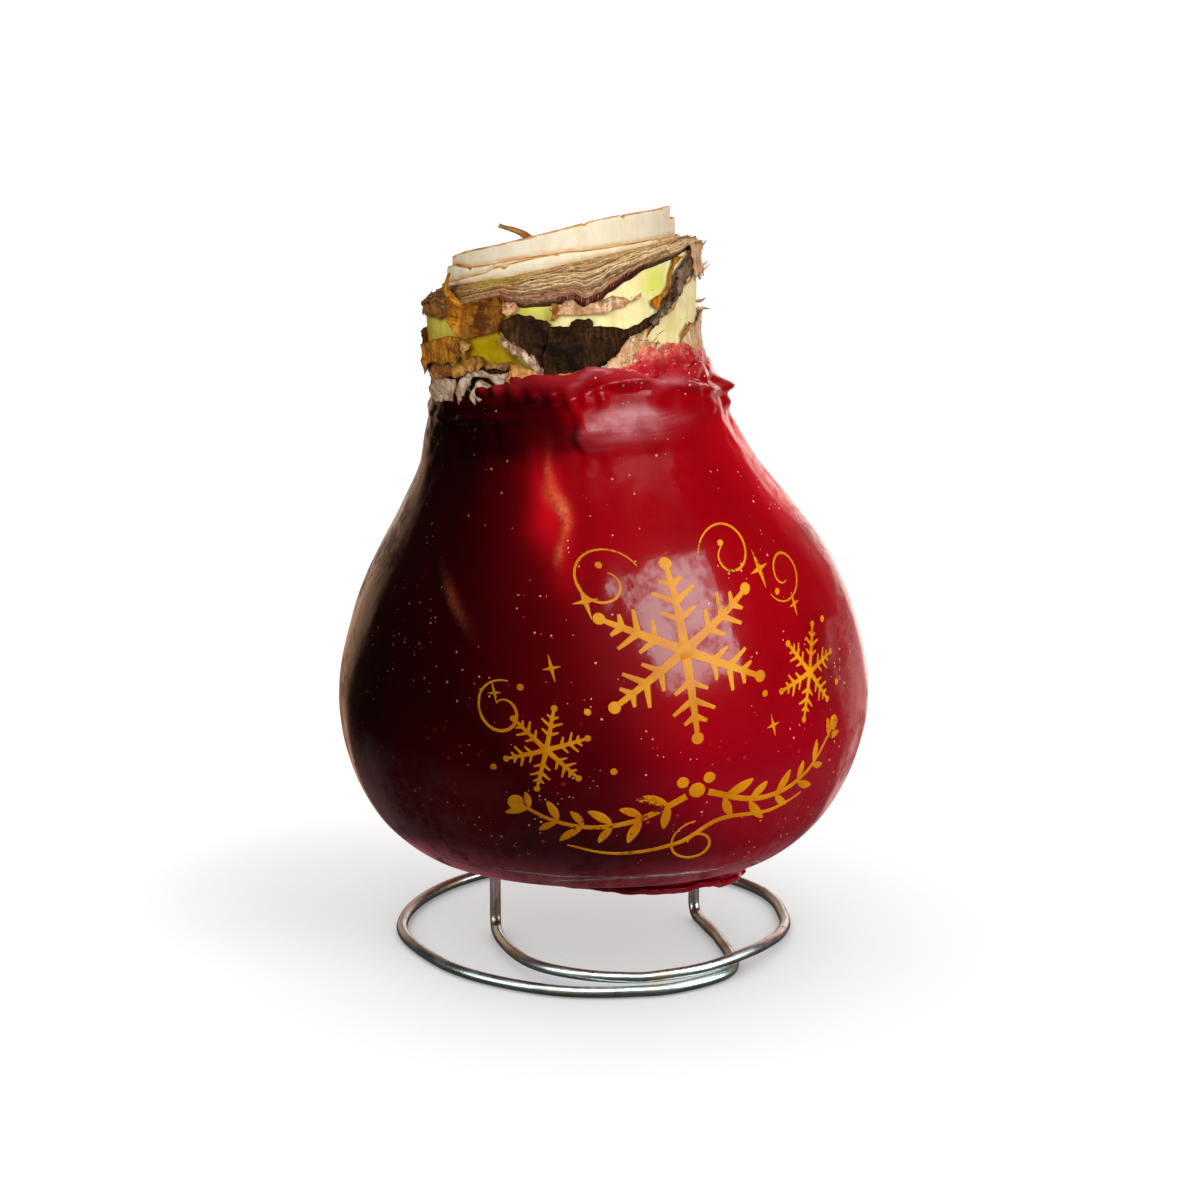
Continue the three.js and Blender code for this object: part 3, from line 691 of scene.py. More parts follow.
WAX = make_wax_material()
GOLD = make_gold_material()
IVORY = make_ivory_material()
LIVING = make_living_material()
STACK = make_stack_material()
STEEL = make_steel_material()
CRUMBS = make_crumb_material()
RED_FIBRE = make_fibre_material("red_brown_fibre", (0.2, 0.02, 0.012), (0.36, 0.09, 0.04))
TAN_FIBRE = make_fibre_material("tan_fibre", (0.3, 0.17, 0.06), (0.62, 0.42, 0.22))
BURNT_BROWN = (0.085, 0.026, 0.006)
AMBER_MARK = (0.3, 0.09, 0.012)
DARK_SKIN = make_skin_material(
    "dark_tunic_skin", (0.016, 0.007, 0.0022), (0.078, 0.031, 0.011), (0.028, 0.011, 0.0036),
    (0.006, 0.003, 0.0016), 0.42, 10, 12, 0.0006, 0.05,
)
GLOSSY_DARK_SKIN = make_skin_material(
    "glossy_dark_skin", (0.008, 0.004, 0.002), (0.085, 0.036, 0.012), (0.26, 0.155, 0.085),
    (0.004, 0.002, 0.0015), 0.22, 7, 9, 0.0007, 0.4,
)
SILVER_SKIN = make_skin_material(
    "silvery_tunic_skin", (0.25, 0.12, 0.065), (0.78, 0.56, 0.4), (0.2, 0.08, 0.04),
    (0.09, 0.035, 0.018), 0.4, 5, 14, 0.0006, 0.15,
)
BROWN_SKIN = make_skin_material(
    "brown_tunic_skin", (0.25, 0.075, 0.003), (0.68, 0.3, 0.03), (0.3, 0.09, 0.004),
    BURNT_BROWN, 0.45, 6, 7, 0.0006, 0.05,
)
TAN_SKIN = make_skin_material(
    "tan_tunic_skin", (0.28, 0.1, 0.016), (0.68, 0.4, 0.14), (0.42, 0.2, 0.045),
    AMBER_MARK, 0.5, 6, 7, 0.0006, 0.06,
)
PINK_SKIN = make_skin_material(
    "pinkish_tunic_skin", (0.44, 0.22, 0.1), (0.84, 0.65, 0.43), (0.62, 0.37, 0.18),
    AMBER_MARK, 0.5, 8, 7, 0.0005, 0.14,
)
WHITE_SKIN = make_skin_material(
    "whitish_tunic_flakes", (0.4, 0.27, 0.17), (0.76, 0.62, 0.47), (0.36, 0.2, 0.1),
    (0.12, 0.04, 0.017), 0.45, 4, 4, 0.0005, 0.1,
)
AMBER_SKIN = make_skin_material(
    "amber_dried_rim", (0.38, 0.1, 0.004), (0.62, 0.22, 0.01), (0.44, 0.13, 0.006),
    BURNT_BROWN, 0.35, 7, 4, 0.0003, 0.3,
)
OLIVE_SKIN = make_skin_material(
    "olive_brown_skin", (0.12, 0.034, 0.004), (0.52, 0.25, 0.05), (0.22, 0.08, 0.01),
    BURNT_BROWN, 0.5, 4, 8, 0.0004, 0.2,
)
STAINED_SKIN = make_skin_material(
    "wax_stained_skin", (0.4, 0.004, 0.013), (0.5, 0.01, 0.02), (0.34, 0.003, 0.012),
    (0.74, 0.2, 0.12), 0.16, 4, 3, 0.0004, 0.8,
)

# ---------------- the wax coat

WAX_ROWS = 188
WAX_COLUMNS = 300
# (degrees round the neck, width in degrees) of the beads along the wax's edge.
WAX_BEADS = [
    (-127, 2.6), (-119, 2.2), (-111, 2.6), (-103, 2.2), (-96, 2.4), (-89.5, 2), (-83, 2.4), (-77, 1.8),
    (-20, 3),
]
CREST_HEIGHTS = [80, 82, 84, 85.8, 87, 90, 94, 98]
CREST_DEGREES = [-100.3, -99.8, -98.2, -97.1, -97.7, -100.6, -101.6, -99.8]
# Heights on the wax, and the degrees round the axis at each, where the painted shade on its left side begins.
SHADE_HEIGHTS = [26, 33, 43, 50, 62, 68, 75, 80, 92, 97]
SHADE_DEGREES = [-60, -66, -78, -81, -84, -86, -91, -95, -104, -92]


def dense_outline():
    """The wax's outside with rows close together where the form is finest."""
    fine = smooth_run(WAX_OUTLINE, 40)
    step = np.linalg.norm(np.diff(fine, axis=0), axis=1)
    height = (fine[1:, 1] + fine[:-1, 1]) / 2
    density = np.where(height > 92, 2.2, 1.05) + np.where(height < 22, 1.2, 0)
    run = np.concatenate([[0], np.cumsum(step * density)])
    wanted = np.linspace(0, run[-1], WAX_ROWS)
    return np.stack([np.interp(wanted, run, fine[:, 0]), np.interp(wanted, run, fine[:, 1])], -1)


def inset(pairs, depth):
    points = np.asarray(pairs, float)
    before = np.vstack([points[:1], points[:-1]])
    after = np.vstack([points[1:], points[-1:]])
    run = (after - before) / np.linalg.norm(after - before, axis=1)[:, None]
    return points + depth * np.stack([-run[:, 1], run[:, 0]], -1)


def crest_angle(height):
    """Degrees of the pinched ridge that winds down from the neck."""
    return np.interp(height, CREST_HEIGHTS, CREST_DEGREES)


def second_crest_angle(height):
    return -129 + (72 - height) * 1.5


def wax_relief(angle, height):
    """What hand dipping adds to the smooth form, in mm outwards."""
    body = ramp(height, 20, 30)
    upper = ramp(height, 84, 96)
    facets = 0.5 * round_noise(angle, height, 9, 52, 1, 2) + 0.16 * round_noise(angle, height, 26, 30, 2, 2)
    lumps = 0.1 * round_noise(angle, height, 40, 9, 3, 3)
    line = around(DIP_LINE, angle) + 0.5 * round_noise(angle, 0, 14, 1, 4, 3)
    line += 5 * bump_round(angle, -68, 30)
    front_right = 0.35 + 0.65 * ramp(np.cos(angle + 0.9), -0.3, 0.7)
    step = 0.75 * front_right * (1 - ramp(height, line - 0.9, line + 0.5)) * upper
    lip = 0.62 * front_right * (bump(height, line - 0.7, 0.75) - 0.6 * bump(height, line + 0.8, 0.6))
    bead = 0.7 * round_noise(angle, 0, 26, 1, 15, 3)
    for centre, width in WAX_BEADS:
        bead += bump_round(angle, centre, width)
    bead = 0.85 * bead * bump(height, 105.9 + 0.5 * np.sin(5 * angle), 1.2)
    folded = ramp(angle_from(angle, -88.5 + 1.2 * np.sin(height)), -2.2, 1.2)
    folded *= 1 - ramp(angle_from(angle, -48), 0, 30)
    folded *= 1.5 - 0.9 * ramp(angle_from(angle, -66), -23, 3)
    swell = (0.5 + 1.0 * folded) * bump_round(angle, -66, 44) * bump(height, 99.6, 4.4)
    swell += 0.7 * bump_round(angle, -87, 5) * bump(height, 101.5, 3.2)
    groove = -0.5 * bump_round(angle, -66, 40) * bump(height, 95.6 + 0.5 * np.sin(3 * angle), 2.3)
    shoulder = 1.2 * bump_round(angle, -66, 42) * bump(height, 82, 9)
    dent = -0.9 * bump_round(angle, -172, 20) * bump(height, 103, 2.2)
    crest = 0.5 * bump_round(angle, crest_angle(height), 1.8) * bump(height, 87, 7)
    second = 0.4 * bump_round(angle, second_crest_angle(height), 2.6) * bump(height, 72, 6)
    runs = 0.35 * upper * round_noise(angle, height, 30, 7, 5, 3) * (1 - ramp(height, 108, 112))
    forms = [body * (facets + lumps), step, lip, bead, swell, groove, shoulder, dent, crest, second, runs]
    return sum(forms[1:], forms[0])


def wax_point(radius, angle, height):
    """A place on the coat, with its wavy edge, its set drop and its ragged foot."""
    near_edge = ramp(height, 94, 107)
    ripple = 0.45 * np.sin(9 * angle) + 0.3 * np.sin(17 * angle + 1)
    ripple += 0.9 * round_noise(angle, 0, 34, 1, 6, 4)
    lifted = height + near_edge * (around(WAX_EDGE, angle) + ripple - 107)
    outer = ramp(radius, 24.3, 25.3)
    drip = 2.6 * bump(lifted, 103.5 - 0.25 * (radius - 25), 1.3) * bump_round(angle, 0, 7.5)
    below = 1.1 * bump(lifted, 100.5, 1.3) * bump_round(angle, -5, 7)
    flap = bump_round(angle, -42, 26)
    ragged = 0.35 * np.sin(5 * angle) + 0.3 * np.sin(13 * angle)
    ragged += 0.7 * round_noise(angle, 0, 44, 1, 7, 3)
    foot = ramp(radius, 23, 25.5) * (1 - ramp(height, BASE_HEIGHT + 0.6, BASE_HEIGHT + 1.2))
    spread = foot * (2.2 * flap + ragged)
    out = radius + outer * (wax_relief(angle, lifted) + drip + below) + spread
    return body_point(out, angle, lifted)


def make_wax_coat():
    rim = [[25.5, 107.45], [25.15, 107.8], [24.75, 107.9], [24.4, 107.6], [24.2, 107]]
    inside = inset(WAX_OUTLINE, WAX_THICKNESS)[5:-1][::-1]
    floor = BASE_HEIGHT + WAX_THICKNESS
    foot = [[radius, BASE_HEIGHT] for radius in (2, 8, 15, 20)] + [[23.5, BASE_HEIGHT - 0.1]]
    ceiling = [[26, floor + 1.3], [22, floor], [2, floor]]
    profile = np.vstack([foot, dense_outline(), rim, inside, ceiling])
    points, faces, told = turned(profile, WAX_COLUMNS, wax_point)
    coat = make_piece("wax_coat_dipped", points, faces, WAX, ["wax_coat"], 70)
    angle, height = told[:, 1], told[:, 2]
    paint(coat, "thin", 0.7 * ramp(points[:, 2], 104.5, 107.5) * ramp(height, 105, 107))
    paint(coat, "low", 1 - ramp(height, 35, 62))
    paint_wax_shade(coat, angle, height)
    paint_wax_lights(coat, angle, height)
    paint_wax_gloss(coat, angle, height)
    return coat


def paint_wax_shade(coat, angle, height):
    """Painted shade: a darker red on the side turned away from the light at the left, under the belly and in
    two spots by the print; the very bottom is kept lighter as a painted reflection of the floor.
    """
    turn = angle_from(angle, 0)
    round_left = np.where(turn > 60, turn - 360, turn)
    neck_part = ramp(height, 93, 97)
    past = np.interp(height, SHADE_HEIGHTS, SHADE_DEGREES) - round_left
    inwards = mix(0.66, 0.88, neck_part) * ramp(past / mix(14, 5, neck_part), -1, 1)
    inwards += 0.3 * ramp(past, 5, 45)
    low_left = (1 - ramp(height, 34, 58)) * ramp(-round_left, 92, 125)
    inwards = np.minimum(inwards, 0.97 - 0.45 * low_left)
    lit_edge = mix(0.35, 0.95, ramp(round_left, -90, -78)) * ramp(height, 103.4, 105.4)
    inwards *= 1 - lit_edge
    behind = window(round_left, -245, -182, -35, -15)
    # Painted shade under the belly, taken back at the very bottom as a painted reflection of the floor.
    beneath = 0.1 * (1 - ramp(height, 42, 56)) + 0.07 * bump(height, 31, 5)
    beneath -= mix(0.2, 0.55, ramp(round_left, -122, -98)) * (1 - ramp(height, 23, 29))
    beneath *= 1 - ramp(round_left, -50, -34)
    # Two spots of painted shade by the print.
    in_front = soft_spots(turn, height, (0.36, -30, 14, 58, 9), (0.16, -88, 9, 51, 9))
    paint(coat, "deep", (inwards + beneath) * behind + in_front, 0.97)


def paint_wax_lights(coat, angle, height):
    """Painted highlights: brighter red beside the pinched ridges and along the right side, and a painted
    orange glow along the ridges.
    """
    turn = angle_from(angle, 0)
    beside = soft_spots(
        turn, height, (0.8, -102, 5, 91, 4.5), (0.6, -104, 5.5, 85.5, 3.5), (0.35, -98, 4, 79, 5),
    )
    beside += 0.45 * bump(angle_from(angle, crest_angle(height)), -1, 4) * bump(height, 86, 6)
    lit_side = 0.9 * bump(turn, -6, 17) * window(height, 77, 84, 97, 102)
    paint(coat, "bright", beside + lit_side, 1)
    broad = 1.0 + 1.5 * bump(height, 89.5, 2.6)
    strong = 0.55 * bump(height, 93, 3) + bump(height, 89, 2.6)
    strong = strong + 0.9 * bump(height, 85.5, 2) + 0.8 * bump(height, 81.3, 1.6)
    ridge = bump_round(angle, crest_angle(height), broad) * np.clip(strong, 0, 1)
    small = 0.6 * bump_round(angle, second_crest_angle(height), 1.6) * bump(height, 72, 3)
    patchy = 0.75 + 0.5 * round_noise(angle, height, 90, 3, 14, 3)
    paint(coat, "glow", (ridge + small) * patchy, 0.95)


def paint_wax_gloss(coat, angle, height):
    """Where the clear gloss is whole or rubbed dull by handling, and where the wax is pale: scuffs along the
    neck's highlight that are partly wear and partly painted highlight, and a painted highlight along the
    ledge under the lip.
    """
    turn = angle_from(angle, 0)
    paint(coat, "brushed", soft_spots(turn, height, (1, -70, 26, 100.5, 5.5)))
    arc = np.interp(turn, [-95, -87, -75, -63, -52, -44], [98.2, 99.2, 101, 101.8, 101.4, 100.4])
    gleam = 0.1 + bump(height, arc, 1.0) * bump(turn, -69, 20)
    gleam += 0.6 * bump(turn, -71, 13) * bump(height, arc - 2, 1.9)
    handled = window(turn, -110, -96, -32, -18) * window(height, 78, 86, 95, 99)
    front_neck = window(height, 95, 98, 103.6, 104.6) * bump(turn, -72, 34)
    lit_spot = bump(np.hypot((turn + 66.5) / 22, (height - 73) / 17), 0, 1)
    dulled = 0.65 * bump(turn, -64, 26) * ramp(height, 42, 54) * (1 - lit_spot)
    dip = around(DIP_LINE, angle) + 5 * bump_round(angle, -68, 30)
    ledge_highlight = 0.45 * bump(height, dip - 0.9, 0.7) * window(turn, -92, -80, -45, -28)
    # Pale scuffs along the neck's highlight: partly wear, partly painted highlight.
    scuffs_and_highlight = 0.6 * np.clip(gleam - 0.1, 0, 1) * front_neck * ramp(turn, -95, -86)
    paint(coat, "scuffs_and_highlight", scuffs_and_highlight + ledge_highlight, 0.7)
    paint(coat, "gloss", (1 - 0.95 * handled) * (1 - dulled) * mix(1, gleam, front_neck), 1)


WAX_COAT = make_wax_coat()
WAX_SURFACE = BVHTree.FromObject(WAX_COAT, bpy.context.evaluated_depsgraph_get())

# ---------------- the living neck

LIVING_COLUMNS = 300
STRETCH_FROM = 110
# (degrees round the neck, how pale the scale is there)
PALE_ROUND_NECK = [
    (-180, 0), (-156, 0.06), (-142, 0.04), (-134, 0), (-112, 0), (-104, 0.2), (-94, 0.22), (-87, 0.9),
    (-60, 1), (20, 1), (60, 0.6), (110, 0.2), (150, 0),
]


def living_point(radius, angle, height):
    """As the CAD's bulb; heights from 110 to 111 stretch up to the dried scales."""
    share = np.clip(height - STRETCH_FROM, 0, 1)
    drop = round_neck(DRY_RIM, angle) + 0.9
    low = np.where(radius > SCALES_RADIUS + 0.6, float(STRETCH_FROM), SOCKET_FLOOR)
    high = cut_height(radius, angle) - drop
    rounded = 0.3 * round_noise(angle, height * 2, 12, 8, 11, 2) * ramp(radius, 20, 23)
    top = neck_point(radius + rounded, angle, mix(low, high, share))
    body = body_point(radius, angle, height)
    return np.where((height >= STRETCH_FROM - 0.01)[..., None], top, body)


def make_living_bulb():
    skin = inset(WAX_OUTLINE, WAX_THICKNESS + 0.3)[5:-3]
    floor = BASE_HEIGHT + WAX_THICKNESS + 0.3
    lower = np.vstack([[[2, floor], [22, floor], [26, floor + 1.3]], skin])
    neck = [[NECK_RADIUS, z] for z in np.linspace(98, STRETCH_FROM, 18)]
    upper = [[NECK_RADIUS, STRETCH_FROM + s] for s in np.linspace(0.04, 1, 40)]
    top = STRETCH_FROM + 1
    socket = [[22.6, top], [21.4, top], [21.35, STRETCH_FROM], [2, STRETCH_FROM]]
    profile = np.vstack([lower, neck, upper, socket])
    points, faces, told = turned(profile, LIVING_COLUMNS, living_point)
    bulb = make_piece("living_bulb", points, faces, LIVING, ["bulb"], 60)
    angle, height = told[:, 1], points[:, 2]
    map_flat(bulb, angle * NECK_RADIUS, height)
    turn = angle_from(angle, 0)
    pale = round_neck(PALE_ROUND_NECK, angle)
    streaky = roughness_at(np.column_stack([angle * NECK_RADIUS / 1.2, height / 9, height * 0]), 1, 12, 3)
    paint(bulb, "pale", pale + 0.25 * streaky * (pale > 0.02), 1)
    lime = soft_spots(
        turn, height, (1, -47, 6, 124.4, 2.6), (0.7, -101, 8, 121.5, 2.4), (0.4, -155, 14, 116, 2.4),
    )
    paint(bulb, "lime", lime, 0.85)
    under_silver = bump(height - np.interp(turn, [-118, -96], [114.6, 107.4]), 0, 0.8) * bump(turn, -107, 10)
    shade = (1 - ramp(height, 106, 109.5)) * (1 - 0.6 * pale) + 0.8 * under_silver
    paint(bulb, "shade", shade, 0.95)


make_living_bulb()

# ---------------- fleshy cut scales

SCALE_COLUMNS = 320
SLEEVE_THICKNESS = 0.65
# A profile height that stands for the flat cut; what is over it counts mm down from there.
CUT_MARK = 10


def rim_wave(angle, seed):
    """Uneven cut edge of a fleshy scale, in mm up."""
    nicks = round_noise(angle, 0, 60, 1, seed, 3)
    return 0.3 * round_noise(angle, 0, 9, 1, seed + 5, 2) - 0.45 * ramp(nicks, 0.3, 0.7)


def fleshy_top(radius, angle, drop, seed):
    return cut_height(radius, angle) - drop + rim_wave(angle, seed)


def finish_fleshy(name, points, faces, told, tops, next_rim, node):
    """The piece, with its cut rim marked and the part of it that the next scale shades."""
    piece = make_piece(name, points, faces, IVORY, [node], 55)
    radius, angle = told[:, 0], told[:, 1]
    map_flat(piece, angle * radius / 2 + radius, points[:, 2])
    paint(piece, "rim", 1 - ramp(tops - points[:, 2], 0.1, 0.8))
    covered = cut_height(radius, angle) - round_neck(next_rim, angle)
    paint(piece, "low", (1 - ramp(points[:, 2] - covered, 0.1, 0.9)) * ramp(radius, 17, 19))


def make_scale_sleeve(name, node, outer_radius, rim, next_rim, seed, sunk=0.0):
    """A thin fleshy scale round the ones inside it, sunk into them for a stretch at the front."""
    inner = outer_radius - SLEEVE_THICKNESS
    wall = [[outer_radius, s] for s in np.linspace(0, 0.97, 26)]
    crown = [[outer_radius - 0.1, 0.99], [outer_radius - 0.33, 1], [inner + 0.12, 0.99]]
    profile = wall + crown + [[inner, s] for s in (0.95, 0.7, 0.3, 0)]
    tops = []

    def place(radius, angle, share):
        wobble = 0.14 * round_noise(angle, share * 12, 16, 14, seed, 2) * ramp(share, 0.2, 0.9)
        turn = angle_from(angle, 0)
        wobble -= sunk * window(turn, -92, -80, -16, 4)
        top = fleshy_top(radius, angle, round_neck(rim, angle), seed)
        tops.append(top.ravel())
        return neck_point(radius + wobble, angle, mix(SOCKET_FLOOR + 0.3, top, share))

    points, faces, told = turned(profile, SCALE_COLUMNS, place, ring=True)
    finish_fleshy(name, points, faces, told, tops[0], next_rim, node)


def make_inner_scales():
    """The wrapped innermost scales, with the cut edge of each one raised or sunk a little."""
    radius = SCALES_RADIUS - 1.9
    profile = [[2, 0], [radius, 0]] + [[radius, s] for s in np.linspace(0.05, 0.985, 34)]
    edges = []
    band, layer = radius, 0
    while band > 2.6:
        width = 1.5 + 0.5 * math.sin(layer * 2.1)
        sunk = 1 + 0.5 * math.sin(layer * 1.7)
        crown = [(0.08, 0.06), (0.3, 0)]
        groove = [(width - 0.5, 0.04), (width - 0.3, 0.1), (width - 0.2, 0.9), (width - 0.05, 0.9)]
        for into, deep in crown + groove:
            edges.append((band - into, 0.25 * sunk * (layer > 0) + deep))
        band -= width
        layer += 1
    profile += [[r, CUT_MARK + d] for r, d in edges]
    tops = []

    def place(r, angle, share):
        wobble = round_noise(angle, r * 1.3, 7, 6, 21, 2) * 0.5 * window(r, 2, 8, 17.5, 19)
        top = fleshy_top(radius, angle, 0, 23)
        flat_top = cut_height(r, angle) + (top - cut_height(radius, angle)) * ramp(r, 12, 19)
        on_cut = share >= CUT_MARK
        wall = mix(SOCKET_FLOOR + 0.3, top, np.minimum(share, 1))
        height = np.where(on_cut, flat_top - (share - CUT_MARK), wall)
        tops.append(np.where(on_cut, flat_top, top).ravel())
        side = 0.16 * round_noise(angle, share * 12, 14, 16, 24, 2) * ~on_cut
        return neck_point(r + wobble + side, angle, height)

    points, faces, told = turned(profile, SCALE_COLUMNS, place)
    flat_tops = np.concatenate([tops[0], [0, cut_height(0.0, 0.0)]])
    outer = round_neck(OUTER_RIM, np.radians([d for d, _ in MIDDLE_RIM]))
    shown = [(d, o if -87 < d < 10 else min(m, o)) for (d, m), o in zip(MIDDLE_RIM, outer)]
    finish_fleshy("ivory_inner_scales", points, faces, told, flat_tops, shown, "inner_scales")


make_inner_scales()
make_scale_sleeve("ivory_middle_scale", "middle_scale", 20.05, MIDDLE_RIM, OUTER_RIM, 31, 1.35)
make_scale_sleeve("ivory_outer_scale", "outer_scale", SCALES_RADIUS, OUTER_RIM, DRY_TOP, 37)

# ---------------- dried scale edges

# How far down the stack each scale's edge is, from the innermost one to the outermost.
DRY_EDGES = [0, 0.04, 0.08, 0.13, 0.17, 0.22, 0.26, 0.32, 0.38, 0.46, 0.56, 0.66]
DRY_COLUMNS = 430
# (mm in from each edge, mm under it) of the thin lip that each dried scale has.
DRY_LIP = [(-0.02, 0.34), (0, 0.12), (0.06, 0)]
MAROON_ROUND_NECK = [(-97, 0), (-88, 0.8), (-80, 1), (-58, 1), (-50, 0), (90, 0.3), (180, 0)]
ROSY_ROUND_NECK = [(-150, 0), (-118, 0.5), (-110, 0.8), (-60, 0.8), (-50, 0.2), (-40, 0)]
CREAM_ROUND_NECK = [(-180, 0), (-112, 0), (-102, 0.7), (-60, 0.95), (-40, 1), (0, 0.9), (60, 0.5), (120, 0.2)]
DIM_ROUND_NECK = [(-180, 0.9), (-152, 0.9), (-138, 0.4), (-126, 0), (120, 0.2), (150, 0.6)]


def make_dried_stack():
    """Thin dried scale edges, each lower than the one inside it, ending in a crinkled roll."""
    inside, outside = SCALES_RADIUS + 0.12, NECK_RADIUS + 0.5
    pitch = (outside - inside) / len(DRY_EDGES)
    # Rows of radius, share of the way down the stack, and mm below that.
    rows = [
        (inside, 1, 1.2), (outside - 0.9, 1, 1.2), (outside - 0.5, 1, 0.3), (outside - 0.05, 1, 0.02),
        (outside + 0.2, 0.96, 0), (outside + 0.34, 0.9, 0), (outside + 0.42, 0.83, 0),
        (outside + 0.36, 0.76, 0),
    ]
    for layer in range(len(DRY_EDGES), 0, -1):
        rim, share = inside + layer * pitch, DRY_EDGES[layer - 1]
        for back, down in DRY_LIP + [(pitch * 0.5, 0.04), (pitch * 0.72, 0.26), (pitch * 0.9, 0.5)]:
            rows.append((rim - back, share, down))
    rows.append((inside, 0, 1.0))
    rows = np.array(rows)
    profile = np.column_stack([rows[:, 0], np.arange(len(rows))])

    def place(radius, angle, row):
        share, down = rows[row.astype(int), 1], rows[row.astype(int), 2]
        drop = mix(round_neck(DRY_TOP, angle), round_neck(DRY_RIM, angle), share)
        layer = np.round(share * 24)
        uneven = 0.5 * round_noise(angle, layer * 2.3, 13, 1, 41, 3)
        uneven += 0.24 * round_noise(angle, layer * 3.1, 46, 1, 42, 3)
        uneven = uneven * ramp(share, 0.02, 0.2) * (1 - 0.7 * ramp(share, 0.6, 0.7))
        rolled = ramp(share, 0.55, 0.66)
        waves = round_noise(angle, share * 9, 66, 1, 43, 2)
        fine = round_noise(angle, share * 22, 190, 1, 44, 2)
        out = radius + 0.12 * round_noise(angle, layer * 2.2, 30, 1, 45, 3)
        out += rolled * (0.3 * waves + 0.22 * fine)
        top = cut_height(radius, angle) - drop + uneven + rolled * 0.22 * waves
        return neck_point(np.maximum(out, inside - 0.05), angle, top - down)

    points, faces, told = turned(profile, DRY_COLUMNS, place, ring=True)
    stack = make_piece("dried_scale_stack", points, faces, STACK, ["dry_scales"], 60)
    share, down = np.repeat(rows[:, 1:], DRY_COLUMNS, 0).T
    angle = told[:, 1]
    turn = angle_from(angle, 0)
    map_flat(stack, angle * NECK_RADIUS, share * 7 + down)
    patchy = round_noise(angle, share * 6, 14, 2, 46, 3)
    roll = ramp(share, 0.6, 0.66)
    paint(stack, "layer", share)
    # Painted shade in the hollows under each dried scale's lip and on the underside of the roll.
    crevice_shade = ramp(down, 0.18, 0.42) * 0.75 + 0.4 * ramp(share, 0.985, 1)
    paint(stack, "crevice_shade", crevice_shade, 0.95)
    lips = ramp(share, 0.8, 0.88)
    maroon = round_neck(MAROON_ROUND_NECK, angle)
    paint(stack, "maroon", maroon * roll * (0.1 + 1.1 * lips + 0.4 * patchy))
    paint(stack, "rosy", roll * round_neck(ROSY_ROUND_NECK, angle), 0.9)
    olive = bump(turn, -121, 15) * (1 - ramp(share, 0.22, 0.36))
    paint(stack, "olive", 1.1 * olive * (1 + 0.6 * patchy), 0.9)
    cream = ramp(share, 0.2, 0.3) * (1 - ramp(share, 0.6, 0.66) * (turn < -40)) + 0.25
    cream = round_neck(CREAM_ROUND_NECK, angle) * cream
    paint(stack, "cream", cream * (1 + 0.5 * patchy), 0.95)
    paint(stack, "dim", round_neck(DIM_ROUND_NECK, angle) * (1 + 0.7 * patchy), 0.9)


make_dried_stack()

# ---------------- torn tunic skins

SKIN_BASE = NECK_RADIUS + 0.25
SKIN_THICKNESS = 0.14
SKIN_GRAIN = 0.44
MM_PER_DEGREE = 0.415


def distance_to_edge(points, loop):
    """Distance of each point to a closed loop, in the flat."""
    start, run = loop, np.roll(loop, -1, axis=0) - loop
    offset = points[:, None] - start[None]
    share = np.clip((offset * run).sum(-1) / np.maximum((run * run).sum(-1), 1e-9), 0, 1)
    return np.linalg.norm(offset - share[..., None] * run, axis=-1).min(1)


def is_inside(points, loop):
    """Whether each point is inside a closed loop, by how often a line from it crosses the loop."""
    crossings = np.zeros(len(points), int)
    for (x0, y0), (x1, y1) in zip(loop, np.roll(loop, -1, axis=0)):
        spans = (y0 > points[:, 1]) != (y1 > points[:, 1])
        crossings += spans & (points[:, 0] < x0 + (points[:, 1] - y0) * (x1 - x0) / (y1 - y0 + 1e-12))
    return crossings % 2 == 1


def torn_loop(corners, jag, seed):
    """A closed outline through corners, with an uneven torn edge."""
    loop = []
    for start, end in zip(corners, np.roll(corners, -1, axis=0)):
        steps = max(1, int(np.linalg.norm(end - start) / 0.34))
        loop += [mix(start, end, i / steps) for i in range(steps)]
    loop = np.array(loop)
    flat = np.column_stack([loop, np.zeros(len(loop))])
    shift = [roughness_at(flat, 1.5, seed + k, 4) for k in (0.3, 7.7)]
    return loop + jag * np.stack(shift, -1)


def flat_skin(corners, jag, seed):
    """Points, triangles and edge distances of a torn outline, in mm across and up the neck."""
    corners = np.array([(math.radians(a) * NECK_RADIUS, z) for a, z in corners])
    loop = torn_loop(corners, jag, seed)
    low, high = loop.min(0), loop.max(0)
    across, up = [np.arange(start, end, SKIN_GRAIN) for start, end in zip(low, high)]
    grid = np.stack([line.ravel() for line in np.meshgrid(across, up)], -1)
    grid += np.random.default_rng(seed).uniform(-0.2, 0.2, grid.shape)
    grid = grid[is_inside(grid, loop)]
    grid = grid[distance_to_edge(grid, loop) > 0.3]
    places = [Vector(p) for p in np.vstack([loop, grid])]
    made = delaunay_2d_cdt(places, [], [list(range(len(loop)))], 1, 1e-4)
    points = np.array([tuple(p) for p in made[0]])
    triangles = [tuple(face) for face in made[2]]
    return points, triangles, distance_to_edge(points, loop)


def renumbered(faces, by):
    return [tuple(i + by for i in face) for face in faces]


def walled(front, back, triangles):
    """A closed thin solid from a front, its back and walls round every open edge."""
    count = len(front)
    one_way = {(a, b) for t in triangles for a, b in zip(t, t[1:] + t[:1])}
    walls = [(b, a, a + count, b + count) for a, b in one_way if (b, a) not in one_way]
    backs = renumbered([t[::-1] for t in triangles], count)
    return np.vstack([front, back]), triangles + backs + sorted(walls)


